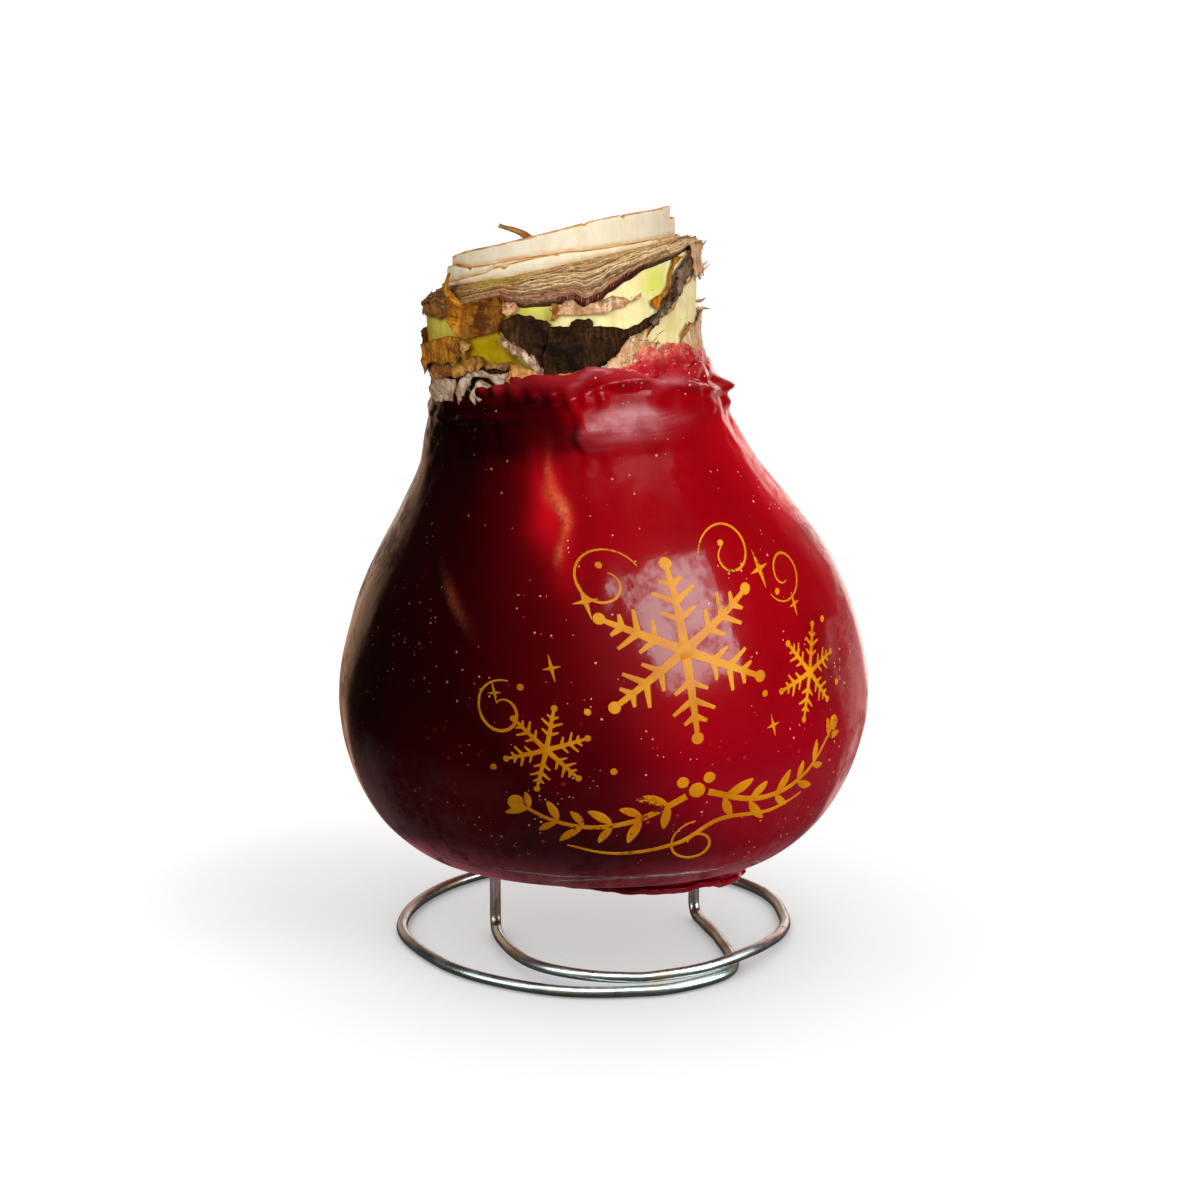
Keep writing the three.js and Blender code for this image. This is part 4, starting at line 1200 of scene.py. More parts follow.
def torn_skin(corners, seed, lift, curl, crease, crease_size=(1.2, 4.0), jag=0.4, flares=(), burns=()):
    """One torn piece of skin on the neck.

    curl lifts its edges unevenly, crease wrinkles it with features of crease_size across and up,
    each flare (angle, height, reach, lift) pulls a place away, and each burn (angle, height,
    reach, amount) darkens one.
    """
    flat, triangles, edge = flat_skin(corners, jag, seed)
    angle, height = flat[:, 0] / NECK_RADIUS, flat[:, 1]
    place = np.column_stack([flat, np.zeros(len(flat))])
    wrinkles = crease * roughness_at(place, (*crease_size, 1), seed + 2, 3)
    fine = 0.35 * crease * roughness_at(place, (0.5, 1.1, 1), seed + 3, 3)
    uneven = 0.45 + 0.9 * roughness_at(place, 2.6, seed + 4, 2)
    curled = curl * np.clip(uneven, 0, 1.2) * np.exp(-edge / 0.75)
    out = np.full(len(flat), lift) + wrinkles + fine + curled
    burnt = np.zeros(len(flat))
    for marks, marked in ((flares, out), (burns, burnt)):
        for at, z, reach, amount in marks:
            away = np.hypot((np.degrees(angle) - at) * MM_PER_DEGREE, height - z)
            marked += amount * bump(away, 0, reach)
    radius = SKIN_BASE + SKIN_THICKNESS + np.maximum(out, -0.12)
    front = neck_point(radius, angle, height)
    back = neck_point(radius - SKIN_THICKNESS * (0.55 + 0.45 * ramp(edge, 0, 0.5)), angle, height)
    points, faces = walled(front, back, triangles)
    return points, faces, flat, edge, burnt


def make_skins(name, material, nodes, sheets):
    """Several torn sheets of one finish as one piece."""
    all_points, all_faces, told = np.empty((0, 3)), [], []
    for sheet in sheets:
        points, faces, *values = torn_skin(**sheet)
        all_faces += renumbered(faces, len(all_points))
        all_points = np.vstack([all_points, points])
        # The front and the back of a sheet have the same values.
        told += [np.column_stack(values)] * 2
    across, up, edge, burnt = np.vstack(told).T
    piece = make_piece(name, all_points, all_faces, material, nodes, 60)
    map_flat(piece, across, up)
    ragged = roughness_at(all_points, 0.9, 3, 2)
    paint(piece, "edge", 1 - edge / 0.3 + 0.6 * ragged, 1)
    paint(piece, "burnt", burnt * (1 + 0.5 * ragged), 1)


make_skins("tunic_dark_torn", DARK_SKIN, ["tunic_dark_front"], [
    # The first sheet lies low under the others; its dark colour is painted shade for the crack between them.
    dict(seed=50, lift=-0.1, curl=0, crease=0.05, burns=[(-85, 113, 12, 1)], corners=[
        (-104, 118.4), (-97, 118.2), (-91, 117.4), (-84, 118), (-72, 116.8), (-62, 115.6), (-66, 112.4),
        (-74, 110.4), (-79, 108.6), (-96, 108.4), (-100, 111.8), (-104, 114),
    ]),
    dict(seed=51, lift=0.1, curl=0.3, crease=0.18, flares=[(-96, 114.5, 1.6, 0.35)],
         burns=[(-99, 117, 3, 0.8), (-97, 113, 2, 0.7)], corners=[
        (-113.6, 118.6), (-108.5, 119.8), (-101.5, 119.6), (-98.4, 119), (-95.4, 118.9), (-94.3, 118.3),
        (-95.9, 115.2), (-98.1, 112.4), (-98.3, 110.5), (-105.4, 113.8), (-112, 115.2), (-114.8, 116.7),
    ]),
    dict(seed=52, lift=0.14, curl=0.3, crease=0.18, flares=[(-92, 112, 1.8, 0.25)],
         burns=[(-89, 115, 3.4, 0.9), (-86, 111, 3, 0.8), (-68, 114, 2, 0.5)], corners=[
        (-93.9, 118), (-88, 117.8), (-86.4, 117.8), (-85.7, 118.6), (-83, 119), (-78.6, 119.2),
        (-76.6, 118.7), (-76.5, 117.9), (-70.2, 117.6), (-63.3, 116.8), (-56.6, 117.5), (-51.6, 118.5),
        (-47.6, 119.3), (-46.6, 117.5), (-51.6, 116.6), (-57.5, 115.8), (-60.7, 115.4), (-64.7, 114.1),
        (-68.4, 112.1), (-73.2, 111.5), (-76.6, 110.4), (-79, 108), (-97, 107.6), (-98, 110.2),
        (-97, 113.2), (-95.6, 114.9), (-94.8, 116.4),
    ]),
])
make_skins("tunic_dark_band", GLOSSY_DARK_SKIN, (), [
    dict(seed=53, lift=0.4, curl=0.5, crease=0.5, crease_size=(1.1, 1.3), jag=0.6, corners=[
        (-51, 118.6), (-47.6, 119.1), (-45.2, 120.6), (-44.3, 121.7), (-40.7, 122.1), (-37.4, 123.4),
        (-36.9, 124.5), (-37.5, 125.4), (-33.9, 126.1), (-30.7, 127.1), (-24.7, 128.4), (-22, 128),
        (-20.9, 125.8), (-24.5, 124.3), (-30.6, 123), (-32.6, 121.3), (-37.4, 119.9), (-41.2, 118.9),
        (-46.6, 117.3), (-51.6, 116.6), (-52, 117.8),
    ]),
])
make_skins("tunic_silver_torn", SILVER_SKIN, ["tunic_silver_front"], [
    dict(seed=55, lift=0.22, curl=0.12, crease=0.16, crease_size=(0.9, 0.9), jag=0.55,
         burns=[(-100, 110.4, 1.6, 0.6)], corners=[
        (-115.9, 116.1), (-111.6, 115.1), (-108.8, 114.6), (-104.7, 113.8), (-101.5, 112.7), (-98.2, 109.9),
        (-96.4, 108.2), (-97.7, 108.6), (-100.3, 109.3), (-102.7, 110.5), (-108.5, 112.6), (-113.6, 114),
        (-115.2, 115),
    ]),
])
make_skins("tunic_tan_front_torn", PINK_SKIN, ["tunic_tan_front"], [
    dict(seed=57, lift=0.2, curl=0.35, crease=0.16, crease_size=(0.7, 3.2), jag=0.25,
         burns=[(-60, 109.5, 3, 0.5), (-53, 113.4, 1.4, 0.5)], corners=[
        (-26.2, 123.3), (-31.9, 121.3), (-37.9, 119.3), (-47.1, 117.5), (-51.6, 116.6), (-57.5, 115.8),
        (-60.7, 115.4), (-65.6, 113.4), (-68.8, 111.9), (-71.4, 111.5), (-72.1, 110.3), (-79, 107.5),
        (-50, 109.5), (-52, 112.5), (-48.5, 113.5), (-44.7, 113.6), (-51.9, 114.2), (-52.6, 115.2),
        (-50.7, 116.5), (-46.1, 117.6), (-41.2, 119.2), (-35.6, 120.7), (-30.6, 122.1), (-24.5, 123.1),
        (-20.8, 124.1),
    ]),
])
make_skins("tunic_tan_middle_torn", PINK_SKIN, ["tunic_tan_middle"], [
    dict(seed=61, lift=0.3, curl=0.6, crease=0.26, crease_size=(2.4, 0.8), jag=0.35,
         flares=[(-71, 122.6, 2, 0.4)],
         burns=[(-82, 120.8, 1.6, 0.8), (-62, 121, 1, 0.8), (-76, 120.2, 1.2, 0.5)], corners=[
        (-91.4, 119.8), (-90.8, 120.8), (-89.3, 121.9), (-87.7, 122.5), (-85, 122.6), (-84, 122),
        (-80.6, 121.4), (-77.2, 121.8), (-73.7, 122.6), (-68.8, 123.1), (-64.4, 122.6), (-60.2, 121.5),
        (-63.6, 121), (-68.8, 120.2), (-73.7, 119.9), (-81.3, 120), (-86.7, 119.8),
    ]),
    dict(seed=62, lift=0.2, curl=0.7, crease=0.15, jag=0.2, corners=[
        (-60.6, 121.6), (-58.2, 122.4), (-56.2, 123.1), (-55.8, 122.5), (-57, 121.9),
    ]),
    dict(seed=63, lift=0.25, curl=0.6, crease=0.2, jag=0.3, corners=[
        (-113.9, 121.4), (-111.3, 121.9), (-107.7, 121.6), (-106.7, 120.6), (-108.5, 120), (-112.1, 119.4),
        (-113.6, 120.1),
    ]),
])
make_skins("tunic_brown_left_torn", BROWN_SKIN, ["tunic_brown_left"], [
    dict(seed=65, lift=0.5, curl=0.6, crease=0.3, crease_size=(1.3, 5), jag=0.3,
         flares=[(-137, 116, 2.2, 0.5), (-139, 119.6, 1.6, 0.3)], burns=[(-113, 121, 4.6, 1.1),
         (-115, 117.5, 4.8, 1.1), (-121, 116, 2.8, 0.9), (-128, 115, 2.2, 0.8), (-134, 115.2, 1.6, 0.6),
         (-122, 122, 2.2, 0.7)], corners=[
        (-141.1, 118.8), (-138.9, 120), (-132.4, 120.8), (-123.6, 121.8), (-115.7, 122.8), (-114.3, 121.5),
        (-112.8, 119.5), (-114.3, 118), (-115.6, 116.2), (-120.6, 116), (-127.3, 115.2), (-131, 114.6),
        (-134.3, 114.8), (-137.6, 116.1), (-140.1, 116.8), (-141.4, 117.6),
    ]),
])
make_skins("tunic_brown_far_left_torn", BROWN_SKIN, ["tunic_brown_far_left"], [
    dict(seed=67, lift=0.7, curl=0.5, crease=0.2, crease_size=(4, 0.9), jag=0.35,
         flares=[(-172, 108, 2.2, 0.6)],
         burns=[(-138, 111.6, 2.4, 0.7), (-150, 110, 2, 0.4), (-164, 111.4, 2.4, 0.5)], corners=[
        (-174, 110.4), (-166, 111.6), (-160.1, 112.2), (-153.1, 113.1), (-143.4, 114.2), (-135.4, 114.8),
        (-135, 113.4), (-135.8, 111.6), (-136.9, 110.2), (-143.1, 109.5), (-152.6, 109.1), (-162, 108.3),
        (-170, 106), (-175, 106.4), (-176, 108.4),
    ]),
])
make_skins("tunic_tan_curl_torn", TAN_SKIN, ["tunic_tan_curl"], [
    dict(seed=69, lift=0.7, curl=0.8, crease=0.3, crease_size=(0.9, 2), jag=0.25, corners=[
        (-134.8, 114.1), (-131.2, 114.5), (-128.7, 114), (-129.5, 112.8), (-131.4, 112.3), (-132.3, 111.1),
        (-134.4, 111.7), (-134.9, 112.8),
    ]),
])
make_skins("tunic_tan_left_torn", OLIVE_SKIN, ["tunic_tan_left"], [
    dict(seed=71, lift=0.2, curl=0.5, crease=0.3, crease_size=(3, 0.9), corners=[
        (-168, 107.2), (-152.7, 108.9), (-143.2, 109.3), (-136.4, 110.1), (-132.2, 111.4), (-127.6, 111.7),
        (-123.6, 111.5), (-121.4, 111), (-125.8, 109.8), (-128.8, 108.6), (-133.2, 108.8), (-137.8, 107.3),
        (-144.6, 107), (-151.7, 106.5), (-164.3, 104.1), (-172, 103.6),
    ]),
    dict(seed=72, lift=0.3, curl=0.5, crease=0.2, crease_size=(3, 0.8), burns=[(-117, 110.4, 4, 0.5)],
         corners=[
        (-124.9, 111.3), (-121, 110.9), (-117, 110.9), (-112.4, 111.4), (-110.3, 111.3), (-113, 109.6),
        (-115.9, 109.8), (-118.9, 110), (-123.1, 109.5),
    ]),
    dict(seed=73, lift=0.2, curl=0.6, crease=0.3, crease_size=(4, 0.7), jag=0.6,
         burns=[(-155, 118, 9, 0.6)], corners=[
        (-172, 118.2), (-160.7, 119), (-151.6, 120.4), (-140.4, 120.7), (-137.9, 119.7), (-138.6, 117.9),
        (-146.3, 117.5), (-153.4, 117), (-161, 116.6), (-174, 116),
    ]),
])
make_skins("tunic_white_flakes", WHITE_SKIN, ["tunic_white_left"], [
    dict(seed=75, lift=1.0, curl=0.35, crease=0.1, crease_size=(2.6, 3), jag=0.3,
         flares=[(-152, 106, 2, 0.3)], burns=[(-148, 104, 2, 0.6), (-162, 103, 2, 0.5)], corners=[
        (-172, 102.5), (-164.3, 104.1), (-151.7, 106.5), (-144.7, 106.9), (-139.1, 107), (-139.3, 105.8),
        (-141.7, 104.6), (-144, 103), (-155, 102), (-166, 101.2),
    ]),
    dict(seed=76, lift=0.9, curl=0.4, crease=0.12, crease_size=(2.6, 3), jag=0.25,
         flares=[(-116, 109, 1.6, 0.4)],
         burns=[(-132, 106.4, 1.4, 0.7), (-122, 108.8, 1.2, 0.6), (-114, 108, 1.2, 0.5)], corners=[
        (-141.2, 104.6), (-137, 107.1), (-131.4, 108.8), (-124.3, 109.6), (-121.3, 109), (-116.7, 109.3),
        (-112.2, 109.8), (-112.9, 108.6), (-114.3, 107.6), (-116.1, 106.8), (-118.2, 107.2),
        (-120.8, 108.3), (-124.8, 108.4), (-129, 108.2), (-130.7, 106.6), (-133.9, 105.7), (-137, 104),
        (-140, 102.6),
    ]),
    dict(seed=77, lift=1.15, curl=0.35, crease=0.1, crease_size=(2.6, 3), jag=0.2,
         burns=[(-122, 106.8, 1, 0.5), (-130, 104.6, 1, 0.6)], corners=[
        (-132.4, 104.2), (-129, 106.4), (-126.8, 107.4), (-124.9, 107.9), (-121.9, 107.5), (-118.5, 106.5),
        (-121, 105.2), (-126, 104.2), (-130, 103),
    ]),
])
make_skins("tunic_flake_shadows", DARK_SKIN, (), [
    dict(seed=78, lift=0.1, curl=0, crease=0.1, burns=[(-130, 106, 20, 0.7)], corners=[
        (-172, 102), (-160, 106.4), (-140, 107.6), (-134, 109.2), (-124, 110), (-112, 110), (-108, 109),
        (-112, 106.6), (-120, 105.5), (-128, 103.6), (-136, 103), (-150, 101.6),
    ]),
])
make_skins("tunic_rim_papers", TAN_SKIN, (), [
    dict(seed=79, lift=0.8, curl=0.6, crease=0.24, crease_size=(0.9, 2), jag=0.4,
         burns=[(-100, 108, 2, 0.5)], corners=[
        (-113.2, 108), (-111.9, 109.6), (-110.4, 110.9), (-106.9, 110.7), (-102.8, 110.2), (-98.9, 109.6),
        (-96.6, 108.2), (-100.6, 107.6), (-109, 107.4),
    ]),
    dict(seed=80, lift=0.35, curl=0.4, crease=0.2, jag=0.4, corners=[
        (-96.1, 108.2), (-92.8, 109.4), (-89.4, 109.7), (-85.3, 109.9), (-82, 109.7), (-80.2, 108.9),
        (-84, 108), (-92, 107.8),
    ]),
])
make_skins("tunic_tan_right_low_torn", PINK_SKIN, ["tunic_tan_right_low"], [
    dict(seed=83, lift=0.25, curl=0.5, crease=0.22, crease_size=(1, 4), flares=[(-3, 116, 2, 0.3)],
         burns=[(-16, 112.4, 2.4, 0.5)], corners=[
        (-24.5, 115.8), (-13.2, 115.8), (-1.4, 116.5), (12, 116), (16, 113), (16, 108), (-1.4, 108),
        (-15.1, 109.7), (-26, 111.7), (-31.3, 113), (-29.6, 114.1),
    ]),
])
make_skins("tunic_tan_right_high_torn", PINK_SKIN, ["tunic_tan_right_high"], [
    dict(seed=87, lift=0.3, curl=0.6, crease=0.34, crease_size=(1.2, 3), jag=0.6,
         flares=[(-4, 124, 2, 0.4)], burns=[(-14, 126, 1.6, 0.5), (-4, 124.5, 1.4, 0.6)], corners=[
        (-24.7, 130.2), (-10, 128.8), (-1.4, 127.7), (10, 126.5), (12, 123), (0, 122.6), (-6.5, 123.9),
        (-9.3, 122.7), (-20.8, 124.1), (-22.8, 126), (-24.7, 128.1),
    ]),
])
make_skins("amber_dried_rims", AMBER_SKIN, (), [
    dict(seed=91, lift=0.12, curl=0.3, crease=0.12, jag=0.25, corners=[
        (-39.7, 125.3), (-41.2, 123.6), (-44.3, 122.3), (-48, 121.8), (-51.2, 121.5), (-49.8, 120.3),
        (-47.1, 119.6), (-44.7, 120.6), (-44.3, 121.7), (-40.7, 122.1), (-38.6, 123.5), (-37.5, 125.4),
        (-35.8, 126.8), (-30.7, 128.2), (-36.4, 128.3),
    ]),
    dict(seed=92, lift=0.25, curl=0.4, crease=0.12, jag=0.15, corners=[
        (-24.4, 116.1), (-21.8, 115.6), (-26.4, 114.7), (-30.3, 114), (-31.6, 114.5), (-27.8, 115.4),
    ]),
    dict(seed=93, lift=0.15, curl=0.4, crease=0.1, jag=0.15, burns=[(-92.5, 120, 2, 0.5)], corners=[
        (-93.4, 121.9), (-91, 121.8), (-91.4, 120.5), (-92.4, 118.9), (-93.9, 118.9), (-93.2, 120.2),
    ]),
    dict(seed=94, lift=0.4, curl=0.2, crease=0.1, jag=0.1, burns=[(-51, 116, 2, 0.6)], corners=[
        (-50.3, 116.9), (-49.4, 116.8), (-51.7, 115.7), (-53.5, 115.1), (-53, 115.6),
    ]),
])
make_skins("wax_stained_papers", STAINED_SKIN, (), [
    dict(seed=97, lift=0.5, curl=0.1, crease=0.42, crease_size=(3.2, 1.6), jag=0.25,
         burns=[(-73.5, 110.4, 0.9, 0.5), (-56, 113, 1.7, 0.9), (-43, 113.2, 1.9, 0.9),
         (-34, 112.6, 1.6, 0.7), (-20, 110.8, 1.6, 0.6), (-49, 112.6, 1.2, 0.7), (-8, 110, 1.4, 0.6),
         (-62, 111, 1.2, 0.4)], corners=[
        (-77, 107.5), (-74.5, 109.9), (-72.5, 110.6), (-71.2, 110.2), (-69.4, 109.7), (-65.6, 110.4),
        (-60.9, 110.8), (-58.9, 112.5), (-55.4, 113.4), (-52, 113.5), (-48.6, 112.9), (-47, 112.2),
        (-44.8, 113.3), (-42.7, 113.7), (-36.3, 113.1), (-32.6, 113.2), (-28.8, 112.2), (-22.8, 111.2),
        (-14.3, 110.4), (-1.4, 109.5), (2, 106), (-40, 105.4), (-76, 106),
    ]),
])
BACK_NODES = ["tunic_brown_back_right", "tunic_brown_back_left"]
make_skins("tunic_brown_back_torn", BROWN_SKIN, BACK_NODES, [
    dict(seed=101, lift=0.3, curl=0.7, crease=0.26, crease_size=(1.2, 5), jag=0.6,
         flares=[(30, 119, 3, 0.6)], burns=[(50, 112, 5, 0.7)], corners=[
        (23, 107.6), (24, 118.6), (36, 120.4), (50, 119.8), (60, 117.6), (66, 116.4), (67, 108), (46, 107),
    ]),
    dict(seed=102, lift=0.35, curl=0.7, crease=0.24, crease_size=(1.2, 5), jag=0.6,
         burns=[(160, 110, 4, 0.6)], corners=[
        (141, 106), (142, 112.2), (154, 113.6), (168, 112.6), (181, 111.8), (183, 105.4), (164, 104.6),
    ]),
])
make_skins("tunic_dark_back_torn", DARK_SKIN, ["tunic_dark_back"], [
    dict(seed=104, lift=0.9, curl=0.6, crease=0.2, jag=0.6, corners=[
        (57, 109), (58, 114.6), (72, 116.2), (90, 116), (104, 115.2), (113, 113.6), (112, 110.4), (94, 108),
        (76, 107.6),
    ]),
])
make_skins("tunic_tan_back_torn", TAN_SKIN, ["tunic_tan_back"], [
    dict(seed=106, lift=0.3, curl=0.6, crease=0.24, crease_size=(1, 4), jag=0.6, burns=[(112, 110, 3, 0.5)],
         corners=[
        (95, 107), (96, 113.2), (108, 114.4), (122, 113.6), (134, 111.4), (136, 106), (116, 105.8),
    ]),
    dict(seed=107, lift=0.2, curl=0.6, crease=0.2, jag=0.6, corners=[
        (70, 116.8), (84, 119.6), (100, 118.8), (108, 116.4), (96, 116), (82, 115.4),
    ]),
    dict(seed=108, lift=0.25, curl=0.6, crease=0.2, jag=0.6, burns=[(140, 115, 2, 0.5)], corners=[
        (126, 113), (138, 116.8), (150, 117.4), (160, 115.6), (148, 113.6), (136, 112),
    ]),
])


RIBBON_COLUMNS = 7
RIBBON_THICKNESS = 0.2


def make_ribbon(name, material, nodes, path, widths, hollow, turn):
    """A dried strip along a path of points in mm; hollow is how deep it is cupped, turn its roll."""
    path = smooth_run(path, 6)
    widths = smooth_run(np.column_stack([widths, widths]), 6)[:, 0]
    run = np.gradient(path, axis=0)
    run /= np.linalg.norm(run, axis=1)[:, None]
    centre = np.stack([neck_shift(path[:, 2]), np.zeros(len(path)), path[:, 2]], -1)
    out = path - centre
    out -= (out * run).sum(1)[:, None] * run
    out /= np.linalg.norm(out, axis=1)[:, None]
    side = np.cross(run, out)
    cos, sin = math.cos(turn), math.sin(turn)
    out, side = out * cos + side * sin, side * cos - out * sin
    spread = np.linspace(-1, 1, RIBBON_COLUMNS)
    rough = roughness_at(path, 1.2, 9, 3)
    widths, rough_rows, out = widths[:, None], rough[:, None], out[:, None]
    shape = path[:, None] + side[:, None] * (spread * widths / 2)[..., None]
    shape += out * (hollow * spread**2 * widths)[..., None]
    shape += out * (0.12 * rough_rows * spread)[..., None]
    front = (shape + out * RIBBON_THICKNESS / 2).reshape(-1, 3)
    back = (shape - out * RIBBON_THICKNESS / 2).reshape(-1, 3)
    quads = []
    for start in range(0, len(front) - RIBBON_COLUMNS, RIBBON_COLUMNS):
        for a in range(start, start + RIBBON_COLUMNS - 1):
            b = a + RIBBON_COLUMNS
            quads.append((a, a + 1, b + 1, b))
    points, faces = walled(front, back, quads)
    piece = make_piece(name, points, faces, material, nodes, 60)
    across = np.tile(spread, len(path)) * 1.5
    up = np.repeat(np.arange(len(path)) * 0.3, RIBBON_COLUMNS)
    map_flat(piece, np.tile(across, 2), np.tile(up, 2))
    paint(piece, "edge", np.tile(np.abs(across) / 1.5, 2) ** 4)
    paint(piece, "burnt", np.tile(0.6 * np.repeat(rough, RIBBON_COLUMNS) ** 2, 2))


def on_neck(degrees, height, lift):
    """A point that far outside the neck, where the torn skins lie."""
    return neck_point(SKIN_BASE + lift, math.radians(degrees), height)


SHRED_PATH = [
    (-146, 125.2, -0.8), (-145.3, 123.8, 0.1), (-143, 122.2, 0.9), (-139, 121.1, 1.2), (-134.8, 120.4, 1.0),
    (-131, 120.4, 0.6),
]
FLAKE_PATH = [
    (-12.4, -15.3, 131.4), (-13.6, -15.2, 132.4), (-15.2, -14.9, 133.1), (-16.6, -14.6, 133.5),
    (-17.6, -14.4, 133.8),
]
make_ribbon(
    "tunic_shred_curled", BROWN_SKIN, ["tunic_shred"],
    [on_neck(*place) for place in SHRED_PATH], [0.5, 1.3, 2.0, 2.3, 1.8, 0.5], -0.14, 0.0,
)
make_ribbon(
    "dried_leaf_flake", OLIVE_SKIN, ["dried_leaf_tip"],
    FLAKE_PATH, [1.7, 1.5, 1.1, 0.8, 0.9], 0.35, 1.2,
)

# ---------------- fibres, wire and crumbs


def geometry_group(name, **sizes):
    """A geometry node group that takes a mesh, some sizes and a material, and its sockets."""
    inputs = {"Geometry": "Geometry", **sizes, "Finish": "Material"}
    return new_group("GeometryNodeTree", name, inputs, {"Geometry": "Geometry"})


def geometry_node(tree, kind, settings=None, **inputs):
    return new_node(tree, "GeometryNode" + kind, settings, inputs).outputs


def stored(tree, geometry, name, value):
    settings = {"data_type": "FLOAT", "domain": "POINT"}
    inputs = {"Geometry": geometry, "Name": name, "Value": value}
    return geometry_node(tree, "StoreNamedAttribute", settings, **inputs)[0]


def finish_group(tree, geometry, given, result):
    """Makes the group's result plain mesh in its own material."""
    real = geometry_node(tree, "RealizeInstances", Geometry=geometry)[0]
    dressed = geometry_node(tree, "SetMaterial", Geometry=real, Material=given["Finish"])[0]
    feed(tree, result["Geometry"], dressed)
    return tree


def make_sweep_tree():
    """A round strand along each line of a mesh, thinner towards the ends where it is asked to be."""
    tree, given, result = geometry_group("round_strand", Radius="Float", Sides="Int", Taper="Float")
    curve = geometry_node(tree, "MeshToCurve", Mesh=given["Geometry"])[0]
    spline = geometry_node(tree, "SplineParameter")
    curve = stored(tree, curve, "along", spline["Length"])
    circle = geometry_node(tree, "CurvePrimitiveCircle", Resolution=given["Sides"], Radius=given["Radius"])
    around_section = geometry_node(tree, "SplineParameter")["Factor"]
    section = stored(tree, circle[0], "across", around_section)
    to_tip = calculate(tree, "ABSOLUTE", calculate(tree, "SUBTRACT", times(tree, spline["Factor"], 2.0), 1.0))
    size = calculate(tree, "SUBTRACT", 1.0, times(tree, to_tip, given["Taper"]))
    swept = geometry_node(tree, "CurveToMesh", Curve=curve, Profile_Curve=section, Fill_Caps=True, Scale=size)
    smooth = geometry_node(tree, "SetShadeSmooth", Geometry=swept[0])[0]
    return finish_group(tree, smooth, given, result)


def grown(name, base_mesh, tree, settings, nodes):
    """Runs a geometry node tree on a mesh and keeps the result as a plain piece."""
    carrier = add_object(name + "_carrier", base_mesh)
    modifier = carrier.modifiers.new("grow", "NODES")
    modifier.node_group = tree
    for item in tree.interface.items_tree:
        if item.in_out == "INPUT" and item.name in settings:
            modifier[item.identifier] = settings[item.name]
    graph = bpy.context.evaluated_depsgraph_get()
    mesh = bpy.data.meshes.new_from_object(carrier.evaluated_get(graph))
    mesh.name = name
    carrier.modifiers.remove(modifier)
    bpy.data.objects.remove(carrier)
    settle(name, mesh, nodes)


def line_mesh(name, runs):
    """A mesh of bare lines through runs of points in mm."""
    points, edges = [], []
    for run in runs:
        edges += [(len(points) + i, len(points) + i + 1) for i in range(len(run) - 1)]
        points += [tuple(np.asarray(p) * MM) for p in run]
    mesh = bpy.data.meshes.new(name)
    mesh.from_pydata(points, edges, [])
    return mesh


STRAND = make_sweep_tree()
WIRE_RADIUS = 1.0
LEG_TOP = 29
FOOT_BEND = 2.4
OVERLAP_LIFT = 2.3
LEFT_LEG, RIGHT_LEG = np.array([-19.4, 0]), np.array([17.2, 6.9])
# (mm to the right, mm back, share of the lift over the outer run) from the left leg to the ring.
INNER_RUN = [
    (-19, -3.6, 0.15), (-18.2, -9, 0.35), (-15.9, -16.8, 0.55), (-12.6, -23.9, 0.8), (-8.1, -28.6, 0.95),
    (-1.5, -31.7, 1), (5.1, -32.6, 1), (9.5, -32, 1), (18.5, -27.7, 1), (26.7, -19.5, 1), (30.6, -12.4, 0.7),
    (32.7, -6.4, 0.4), (33.9, 0.3, 0.15),
]
OUTER_RUN_END = [(11.7, -32.2), (18, -28.6), (22.2, -24.6), (23.7, -20.4), (23.2, -14.6), (21.2, -5.4)]
RING_MIDDLE = -1.3
# Every 30 degrees from the right over the back.
RING_RADII = [35.1, 36.6, 36.2, 35.8, 35.4, 35.2, 35.3, 33.5, 33.1, 33.8, 34.6, 34.6]


def leg_run(leg, towards):
    """A leg from its top down, with the bend at its foot."""
    away = (towards - leg) / np.linalg.norm(towards - leg)
    turn = np.linspace(0, np.pi / 2, 9)
    out = FOOT_BEND * (1 - np.cos(turn))
    height = WIRE_RADIUS + FOOT_BEND * (1 - np.sin(turn))
    bend = np.column_stack([leg + away * out[:, None], height])
    straight = [[*leg, z] for z in np.linspace(LEG_TOP, FOOT_BEND + 2, 8)]
    return np.vstack([straight, bend])


def wire_run():
    """The wire's middle line: down the left leg, along the ring and up the right leg."""
    inner = [(x, y, WIRE_RADIUS + lift * OVERLAP_LIFT) for x, y, lift in INNER_RUN]
    ring = []
    for degrees in range(11, 282, 9):
        turn = math.radians(degrees)
        radius = float(around(RING_RADII, turn))
        ring.append((RING_MIDDLE + radius * math.cos(turn), radius * math.sin(turn), WIRE_RADIUS))
    outer = [(x, y, WIRE_RADIUS) for x, y in OUTER_RUN_END]
    lying = smooth_run(inner + ring + outer, 8)
    left = leg_run(LEFT_LEG, np.array(INNER_RUN[0][:2]))
    right = leg_run(RIGHT_LEG, np.array(OUTER_RUN_END[-1]))
    return np.vstack([left, lying, right[::-1]])


grown(
    "wire_stand_drawn", line_mesh("wire_run", [wire_run()]), STRAND,
    {"Radius": WIRE_RADIUS * MM, "Sides": 24, "Taper": 0.0, "Finish": STEEL}, ["wire_stand"],
)


def fibre_runs(count, centre, spread, length, seed):
    """Fine torn fibres that start near a place on the neck and stand off it."""
    rng = random.Random(seed)
    runs = []
    for _ in range(count):
        degrees = centre[0] + rng.uniform(-1, 1) * spread[0]
        height = centre[1] + rng.uniform(-1, 1) * spread[1]
        heading = rng.uniform(0.6, 2.4)
        reach = length * rng.uniform(0.5, 1.1)
        bow, lift = rng.uniform(-0.5, 0.5), rng.uniform(0.3, 1.0)
        run = []
        for i in range(7):
            share = i / 6
            side = reach * share * math.cos(heading) + bow * share * share
            up = reach * share * math.sin(heading)
            run.append(on_neck(degrees + side * 2.4, height + up, 0.3 + lift * share))
        runs.append(run)
    return runs


